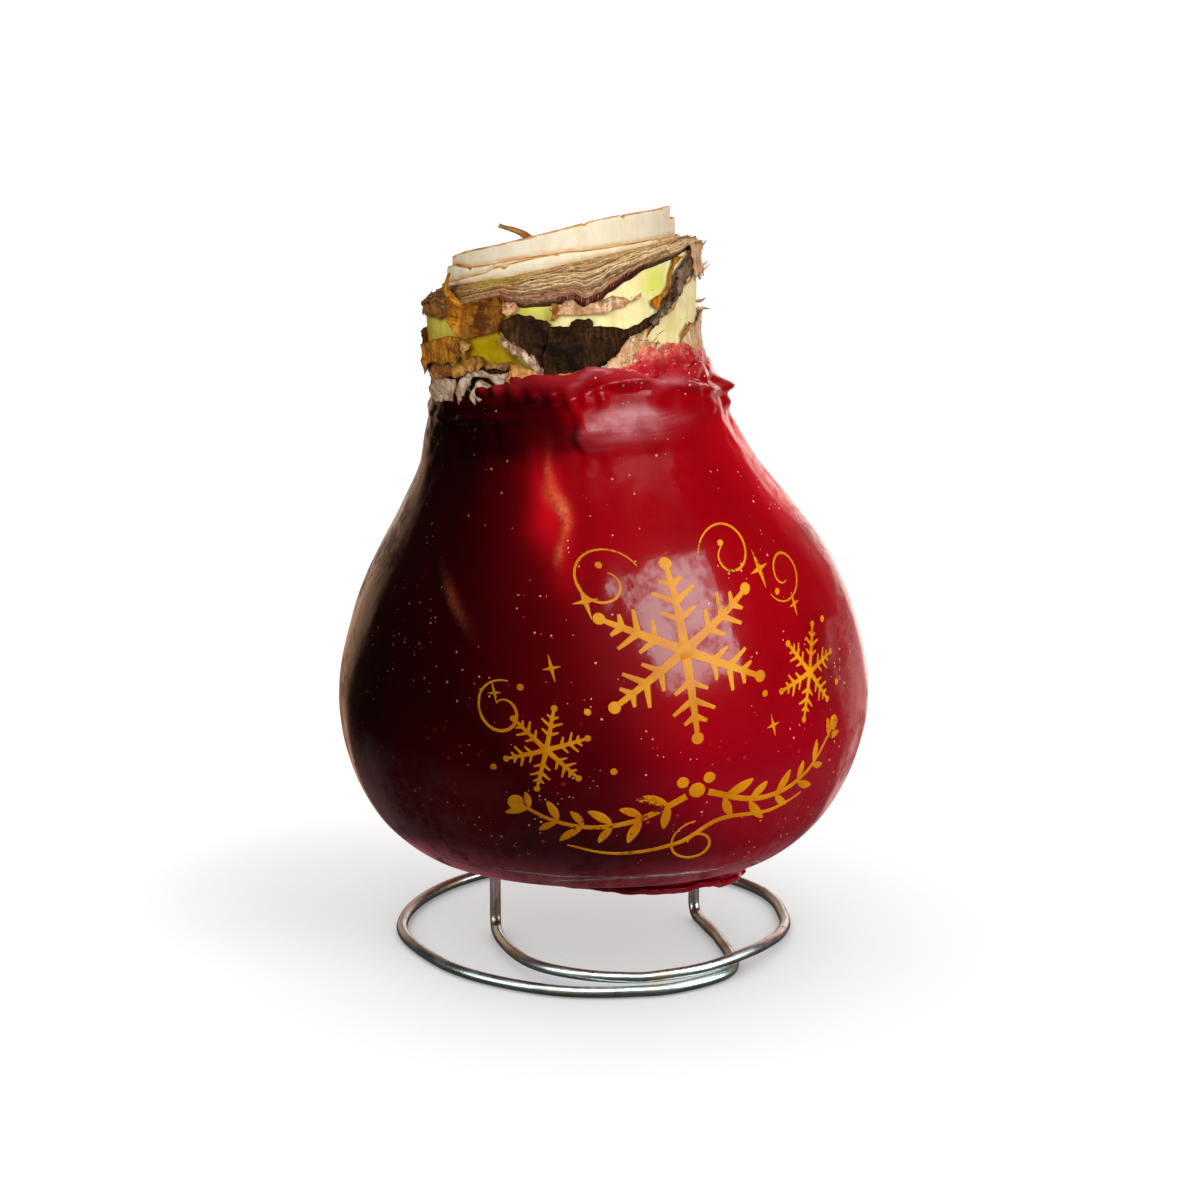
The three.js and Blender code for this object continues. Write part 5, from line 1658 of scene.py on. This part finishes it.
def make_fibres(name, material, radius, groups):
    """Fibres in groups, each with its count, centre, spread, length and seed."""
    runs = [run for group in groups for run in fibre_runs(*group)]
    settings = {"Radius": radius * MM, "Sides": 6, "Taper": 0.75, "Finish": material}
    grown(name, line_mesh(name, runs), STRAND, settings, ())


make_fibres(
    "torn_fibres_red", RED_FIBRE, 0.1,
    [(12, (-112.5, 121.2), (2.6, 0.9), 2.2, 5), (5, (-91.4, 119.4), (0.8, 0.6), 2.0, 6),
     (5, (-47, 114), (3, 1.6), 2.2, 7), (4, (-27, 126.4), (3, 1), 2.4, 8)],
)
make_fibres(
    "torn_fibres_tan", TAN_FIBRE, 0.08,
    [(8, (-170, 106.5), (3, 1.4), 2.4, 15), (8, (-136, 111), (4, 1.2), 2.0, 16),
     (7, (2, 119), (9, 5), 1.8, 17), (6, (-60, 112), (8, 2), 2.2, 18), (8, (40, 119), (14, 1), 2.0, 19),
     (8, (150, 113), (16, 1), 2.0, 20), (6, (-128, 104.6), (8, 1), 1.6, 21)],
)

# Stiff dried points that stand out from the neck, as (degrees round it, height, mm out of it).
THORNS = [
    [(-6, 124.0, -0.9), (-3, 124.4, 0.6), (-1, 125.2, 1.8)],
    [(-5, 122.9, -0.9), (-2, 123.5, 0.7), (0, 124.6, 2.1)],
    [(-6, 118.5, -0.9), (-3, 118.2, 0.4), (0, 118.5, 1.4)],
    [(-6, 116.8, -0.9), (-2, 116.8, 0.6), (0, 116.5, 2.2)],
    [(-8, 127.3, -0.9), (-4, 128.0, 0.5), (-1, 128.8, 1.5)],
    [(-172, 107.8, -0.6), (-173, 106.6, 0.9), (-174, 105.2, 1.5)],
]
grown(
    "dried_points",
    line_mesh("dried_points", [smooth_run([on_neck(*place) for place in thorn], 4) for thorn in THORNS]),
    STRAND, {"Radius": 0.34 * MM, "Sides": 8, "Taper": 0.8, "Finish": TAN_FIBRE}, (),
)


def make_crumb_tree():
    """Small lumps scattered over a surface, thickest where its crumbly attribute is high."""
    tree, given, result = geometry_group("scattered_crumbs", Density="Float", Size="Float", Seed="Int")
    weight = geometry_node(tree, "InputNamedAttribute", {"data_type": "FLOAT"}, Name="crumbly")
    amount = times(tree, weight["Attribute"], given["Density"])
    spread = geometry_node(
        tree, "DistributePointsOnFaces", Mesh=given["Geometry"], Density=amount, Seed=given["Seed"],
    )
    size = tree.nodes.new("FunctionNodeRandomValue")
    size.data_type = "FLOAT"
    size.inputs[2].default_value, size.inputs[3].default_value = 0.35, 1.0
    scale = times(tree, size.outputs[1], given["Size"])
    squat = combined(tree, X=scale, Y=times(tree, scale, 0.8), Z=times(tree, scale, 0.55))
    lump = geometry_node(tree, "MeshIcoSphere", Radius=1.0, Subdivisions=1)[0]
    lumps = {"Points": spread["Points"], "Instance": lump, "Rotation": spread["Rotation"], "Scale": squat}
    placed = geometry_node(tree, "InstanceOnPoints", **lumps)[0]
    return finish_group(tree, placed, given, result)


INSIDE_OF_WAX = 24.6


def make_wax_crumbs():
    """Specks of wax and glitter that stuck to the coat while it set."""
    mesh = WAX_COAT.data.copy()
    count = len(mesh.vertices)
    points = np.empty(count * 3)
    mesh.vertices.foreach_get("co", points)
    points = points.reshape(-1, 3) / MM
    clusters = ramp(roughness_at(points, 7, 61, 2), 0.2, 0.75)
    outer = np.hypot(points[:, 0] - neck_shift(points[:, 2]), points[:, 1]) > INSIDE_OF_WAX
    weight = (0.05 + clusters) * outer * ramp(points[:, 2], 18, 30)
    layer = mesh.attributes.new("crumbly", "FLOAT", "POINT")
    layer.data.foreach_set("value", weight)
    settings = {"Density": 110000.0, "Size": 0.17 * MM, "Seed": 8, "Finish": CRUMBS}
    grown("wax_crumbs", mesh, make_crumb_tree(), settings, ())


make_wax_crumbs()

# ---------------- worn gold print

PRINT_CENTRE = -80  # degrees, of the print's middle
PRINT_TILT = math.radians(6)
PRINT_HEIGHT = 0.05
# (share of a stroke's width, mm over the wax) of each point of a stroke's section.
PRINT_SECTION = [
    (-0.5, -0.05), (-0.46, PRINT_HEIGHT), (0, PRINT_HEIGHT + 0.02), (0.46, PRINT_HEIGHT), (0.5, -0.05),
]
# How far outside the smooth form the nearest place on the wax is looked for.
OUTSIDE_OF_WAX = 1.6


def make_print_map():
    """Lengths along the wax's outline from the belly's middle, with its radii and heights."""
    outline = smooth_run(WAX_OUTLINE, 40)[160:]
    length = np.concatenate([[0], np.cumsum(np.linalg.norm(np.diff(outline, axis=0), axis=1))])
    length -= np.interp(BELLY_HEIGHT, outline[:, 1], length)
    return length, outline[:, 0], outline[:, 1]


PRINT_MAP = make_print_map()


def on_print(across, up):
    """The nearest place on the wax, and its outward direction, for a place in the print."""
    s = across * math.cos(PRINT_TILT) - up * math.sin(PRINT_TILT)
    t = up * math.cos(PRINT_TILT) + across * math.sin(PRINT_TILT)
    radius = np.interp(t, PRINT_MAP[0], PRINT_MAP[1])
    height = np.interp(t, PRINT_MAP[0], PRINT_MAP[2])
    angle = math.radians(PRINT_CENTRE) + s / max(radius, 20)
    guess = Vector(body_point(radius + OUTSIDE_OF_WAX, angle, height) * MM)
    place, normal = WAX_SURFACE.find_nearest(guess)[:2]
    return np.array(place) / MM, np.array(normal)


def print_stroke(path, widths):
    """Points and faces of one printed stroke, as a thin raised band on the wax."""
    path, widths = np.asarray(path, float), np.asarray(widths, float)
    run = np.gradient(path, axis=0)
    side = np.stack([-run[:, 1], run[:, 0]], -1) / np.linalg.norm(run, axis=1)[:, None]
    points = []
    for place, aside, width in zip(path, side, widths):
        for share, rise in PRINT_SECTION:
            ground, normal = on_print(*(place + aside * width * share))
            points.append(ground + normal * rise)
    count = len(PRINT_SECTION)
    faces = []
    for low in range(0, (len(path) - 1) * count, count):
        high = low + count
        for j in range(count):
            k = (j + 1) % count
            faces.append((low + j, high + j, high + k, low + k))
    faces.append(tuple(range(count)))
    faces.append(tuple(reversed(range(len(points) - count, len(points)))))
    return points, faces


def straight(start, end, width, end_width, steps):
    share = np.linspace(0, 1, steps)[:, None]
    return mix(np.array(start, float), np.array(end, float), share), mix(width, end_width, share[:, 0])


def leaf(start, heading, length, width):
    share = np.linspace(0, 1, 10)
    bend = heading + 0.35 * (share - 0.5)
    step = length / 9
    path = np.cumsum(np.stack([np.cos(bend), np.sin(bend)], -1) * step, axis=0) + start
    return path, width * np.sin(np.pi * np.clip(share * 0.96 + 0.02, 0, 1)) ** 0.8 + 0.12


def disc(centre, radius):
    share = np.linspace(-0.96, 0.96, 9)
    path = np.stack([centre[0] + share * radius, np.full(9, float(centre[1]))], -1)
    return path, 2 * radius * np.sqrt(1 - share**2)


def aimed(heading):
    return np.array([math.cos(heading), math.sin(heading)])


def snowflake(centre, radius, width, turn):
    """A six-armed snow crystal."""
    strokes = [disc(centre, width * 1.1)]
    centre = np.array(centre, float)
    for arm in range(6):
        heading = turn + arm * math.pi / 3
        along = aimed(heading)
        root, tip = centre + along * radius * 0.1, centre + along * radius
        strokes.append(straight(root, tip, width, width * 0.55, 14))
        strokes.append(disc(centre + along * radius * 1.07, width * 0.62))
        for at, reach in ((0.38, 0.24), (0.6, 0.3), (0.8, 0.16)):
            for way in (-1, 1):
                branch = heading + way * math.pi / 3
                tip = centre + along * radius * at + aimed(branch) * radius * reach
                strokes.append(straight(centre + along * radius * at, tip, width * 0.72, width * 0.35, 7))
    return strokes


def sprig(knots, width, leaves, length, flip=1):
    """A curved stem with paired leaves, and a berry at its end."""
    path = smooth_run(knots, 14)
    share = np.linspace(0, 1, len(path))
    strokes = [(path, width * (1.15 - 0.7 * share))]
    run = np.gradient(path, axis=0)
    for i in range(leaves):
        at = int((0.12 + 0.8 * i / max(leaves - 1, 1)) * (len(path) - 1))
        heading = math.atan2(run[at, 1], run[at, 0])
        size = length * (1 - 0.35 * i / leaves)
        way = flip if i % 2 else -flip
        strokes.append(leaf(path[at], heading + way * 0.75, size, size * 0.34))
        strokes.append(leaf(path[at], heading - way * 0.85, size * 0.8, size * 0.3))
    strokes.append(disc(path[-1] + run[-1] * 1.2, width * 1.3))
    return strokes


def star(centre, radius):
    strokes = []
    for arm in range(4):
        heading = arm * math.pi / 2 + 0.1
        reach = radius * (1.25 if arm % 2 else 0.85)
        along = aimed(heading)
        strokes.append(straight(centre - 0.1 * radius * along, centre + reach * along, radius * 0.42, 0.1, 6))
    return strokes


def scroll(centre, radius, start, turns, width):
    """A thin curl that winds in from its start; turns below 0 wind the other way."""
    share = np.linspace(0, 1, 40)
    heading = start + turns * 2 * np.pi * share
    reach = radius * (1 - 0.72 * share)
    path = np.stack([centre[0] + reach * np.cos(heading), centre[1] + reach * np.sin(heading)], -1)
    return path, width * (0.45 + 0.55 * np.sin(np.pi * share))


def sweep(knots, width):
    path = smooth_run(knots, 12)
    return path, width * (0.3 + 0.7 * np.sin(np.pi * np.linspace(0.03, 0.97, len(path))))


# Curls as (centre, radius, start, turns, width), stars as (centre, radius) and the centres of dots.
CURLS = [
    ((-2, 34), 6.5, 0.3, 1.1, 0.5), ((21, 34.5), 6, 2.9, -1.1, 0.5), ((33, 27.5), 5.4, 3.6, 1.2, 0.45),
    ((-24, 13), 5.4, 1.2, 1.15, 0.6), ((7, -16.5), 5, 1.5, 1.2, 0.6),
]
STARS = [
    ((-6, 31), 2.6), ((27, 30), 2.8), ((-14, 20), 1.9), ((34, 21.5), 1.7), ((-25, 16), 1.5), ((24, 3), 1.6),
]
DOTS = [(-9, 12), (-2, 37), (20, 36.5), (30, 25), (-20, 17), (42, 16), (-6, 1), (23, 9), (-27, 3), (44, 4)]


def make_print():
    """Snowflakes, curls, sprigs, stars and dots, laid out in mm from the print's middle."""
    strokes = snowflake((9, 20), 14.5, 1.8, math.pi / 6)
    strokes += [scroll(*curl) for curl in CURLS]
    strokes += [sweep([(-15, -13.4), (-6, -16.4), (4, -15.6), (12, -12.2), (22, -13.4), (30, -12.6)], 0.9)]
    strokes += snowflake((-17, 6), 7, 0.95, 0.2) + snowflake((35, 9), 7.6, 1.0, 0.1)
    strokes += sprig([(6, -6), (-4, -9.5), (-14, -9), (-23, -4)], 1.15, 6, 5.6)
    strokes += sprig([(10, -6), (20, -10), (31, -9), (41, -3)], 1.15, 6, 5.6, -1)
    strokes += [disc((8, -5.2), 1.5), disc((5.6, -3.2), 1.1), disc((10.4, -3.2), 1.1)]
    for centre, radius in STARS:
        strokes += star(centre, radius)
    strokes += [disc(centre, 0.62) for centre in DOTS]
    points, faces = [], []
    for path, widths in strokes:
        more, patches = print_stroke(path, widths)
        faces += renumbered(patches, len(points))
        points += more
    make_piece("gold_print", points, faces, GOLD, (), 40)


make_print()

# ---------------- stage and light


def add_lobe(tree, direction, towards, full, none):
    """A mask that is 1 within one angle of a direction, and 0 past another, in degrees."""
    facing = vector_math(tree, "DOT_PRODUCT", direction, Vector(towards).normalized())["Value"]
    return between(tree, facing, math.cos(math.radians(none)), math.cos(math.radians(full)))


def studio_glow(tree, direction, base):
    """The glow of a bright backdrop behind the object, warmer and narrower at its left."""
    left = add_lobe(tree, direction, (-0.3, 0.95, 0.06), 18, 38)
    middle = add_lobe(tree, direction, (0.1, 1, 0.06), 26, 38)
    beyond = add_lobe(tree, direction, (0.44, 0.9, 0.1), 19, 26)
    right = add_lobe(tree, direction, (0.31, 0.95, 0.08), 15, 20)
    return tinted(
        tree, base,
        (left, (0.6, 0.33, 0.2)), (middle, (0.62, 0.42, 0.33)), (beyond, (0.6, 0.07, 0.08)),
        (right, (1.6, 1.15, 1.05)),
    )


def make_floor_material():
    """Pale floor for the camera, with painted shade from occlusion and a painted shadow at the bulb's left;
    for the object's reflections it ends in the bright backdrop.
    """
    material = bpy.data.materials.new("pale_floor")
    material.use_nodes = True
    tree = material.node_tree
    tree.nodes.clear()
    place = object_place(tree)
    reach = vector_math(tree, "LENGTH", place)["Value"]
    shaded = add_node(tree, "AmbientOcclusion", {"samples": 8}, Distance=0.05)["AO"]
    contact_shade = add_node(tree, "AmbientOcclusion", {"samples": 8}, Distance=0.006)["AO"]
    # A painted shadow: the floor's glow is dimmed round a place to the left of and behind the bulb.
    aside = vector_math(tree, "DISTANCE", place, (-0.05, 0.025, 0))["Value"]
    glow = between(tree, reach, 0.045, 0.12, 0.96, 1.08)
    glow = times(tree, glow, between(tree, shaded, 0.0, 0.9, 0.5, 1.0))
    glow = times(tree, glow, between(tree, aside, 0.01, 0.055, 0.86, 1.0))
    glow = times(tree, glow, between(tree, contact_shade, 0.2, 0.9, 0.55, 1.0))
    lit = add_node(tree, "BsdfDiffuse", None, Color=(0.28, 0.28, 0.28, 1))[0]
    shining = add_node(tree, "Emission", None, Color=(1, 1, 1, 1), Strength=glow)[0]
    seen = in_order(tree, "AddShader", None, lit, shining)[0]
    level = vector_math(tree, "NORMALIZE", place)[0]
    near = blend(tree, between(tree, reach, 0.08, 0.2), (0.13, 0.07, 0.07), (0.012, 0.009, 0.009))
    beside = add_lobe(tree, level, (0.74, 0.67, 0), 8, 17)
    glowing = tinted(tree, studio_glow(tree, level, near), (beside, (0.85, 0.45, 0.42)))
    under = between(tree, reach, 0.046, 0.062)
    glowing = blend(tree, under, (0.05, 0.048, 0.046), glowing)
    path = add_node(tree, "LightPath")
    far = between(tree, path["Ray Length"], 0.012, 0.02)
    # Inside the ring, long rays see a pinkish floor: painted bounce light from the red wax.
    middle = times(tree, between(tree, reach, 0.056, 0.044), far)
    glowing = tinted(tree, glowing, (middle, (0.36, 0.12, 0.14)))
    bounced = add_node(tree, "Emission", None, Color=glowing, Strength=1.0)[0]
    chosen = in_order(tree, "MixShader", None, path["Is Camera Ray"], bounced, seen)[0]
    in_order(tree, "OutputMaterial", None, chosen)
    return material


def make_floor():
    reach, level = 4000, -0.02
    mesh = bpy.data.meshes.new("floor")
    corners = [(-reach, -reach), (reach, -reach), (reach, reach), (-reach, reach)]
    mesh.from_pydata([(x * MM, y * MM, level * MM) for x, y in corners], [], [(0, 1, 2, 3)])
    mesh.materials.append(make_floor_material())
    floor = add_object("floor", mesh)
    floor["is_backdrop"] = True


def make_surroundings():
    world = bpy.data.worlds.new("studio")
    SCENE.world = world
    world.use_nodes = True
    tree = world.node_tree
    direction = add_node(tree, "TexCoord")["Generated"]
    glow = studio_glow(tree, direction, (0.012, 0.01, 0.01))
    seen = add_node(tree, "LightPath")["Is Camera Ray"]
    feed(tree, tree.nodes["Background"].inputs["Color"], blend(tree, seen, glow, (1.05, 1.05, 1.05)))


def add_softbox(name, azimuth, elevation, distance, size, power, only_on):
    """A soft rectangular light on some pieces; azimuth 0 is at the camera, and grows to the right."""
    data = bpy.data.lights.new(name, "AREA")
    data.shape = "RECTANGLE"
    data.size, data.size_y = size
    data.energy = power
    light = add_object(name, data)
    turn, rise = math.radians(azimuth), math.radians(elevation)
    away = Vector((math.sin(turn) * math.cos(rise), -math.cos(turn) * math.cos(rise), math.sin(rise)))
    light.location = Vector((0, 0, 0.07)) + away * distance
    light.rotation_euler = away.to_track_quat("Z", "Y").to_euler()
    light.light_linking.receiver_collection = only_on


make_floor()
make_surroundings()
ON_WAX = bpy.data.collections.new("lit_by_key")
ON_NECK = bpy.data.collections.new("lit_by_neck_lights")
ON_WIRE = bpy.data.collections.new("lit_by_wire_light")
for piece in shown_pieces():
    if piece.name.startswith("wire"):
        ON_WIRE.objects.link(piece)
    elif piece.name.startswith(("wax_c", "gold")):
        ON_WAX.objects.link(piece)
    else:
        ON_NECK.objects.link(piece)
add_softbox("softbox_right", 43, 31, 0.8, (0.6, 0.5), 7.3, ON_WAX)
add_softbox("softbox_neck_right", 50, 30, 0.8, (0.6, 0.5), 6.6, ON_NECK)
add_softbox("softbox_neck_fill", -30, 26, 0.8, (0.7, 0.6), 7.2, ON_NECK)
add_softbox("softbox_behind", 160, 45, 0.9, (0.6, 0.5), 2.5, ON_NECK)
add_softbox("softbox_wire_above", 20, 58, 0.8, (1.5, 0.6), 24, ON_WIRE)
add_softbox("softbox_wire_left", -62, 16, 0.8, (0.45, 0.5), 3, ON_WIRE)
add_softbox("softbox_wire_right", 75, 16, 0.8, (0.5, 0.5), 5, ON_WIRE)
SCENE.view_settings.view_transform = "Standard"
SCENE.view_settings.look = "None"
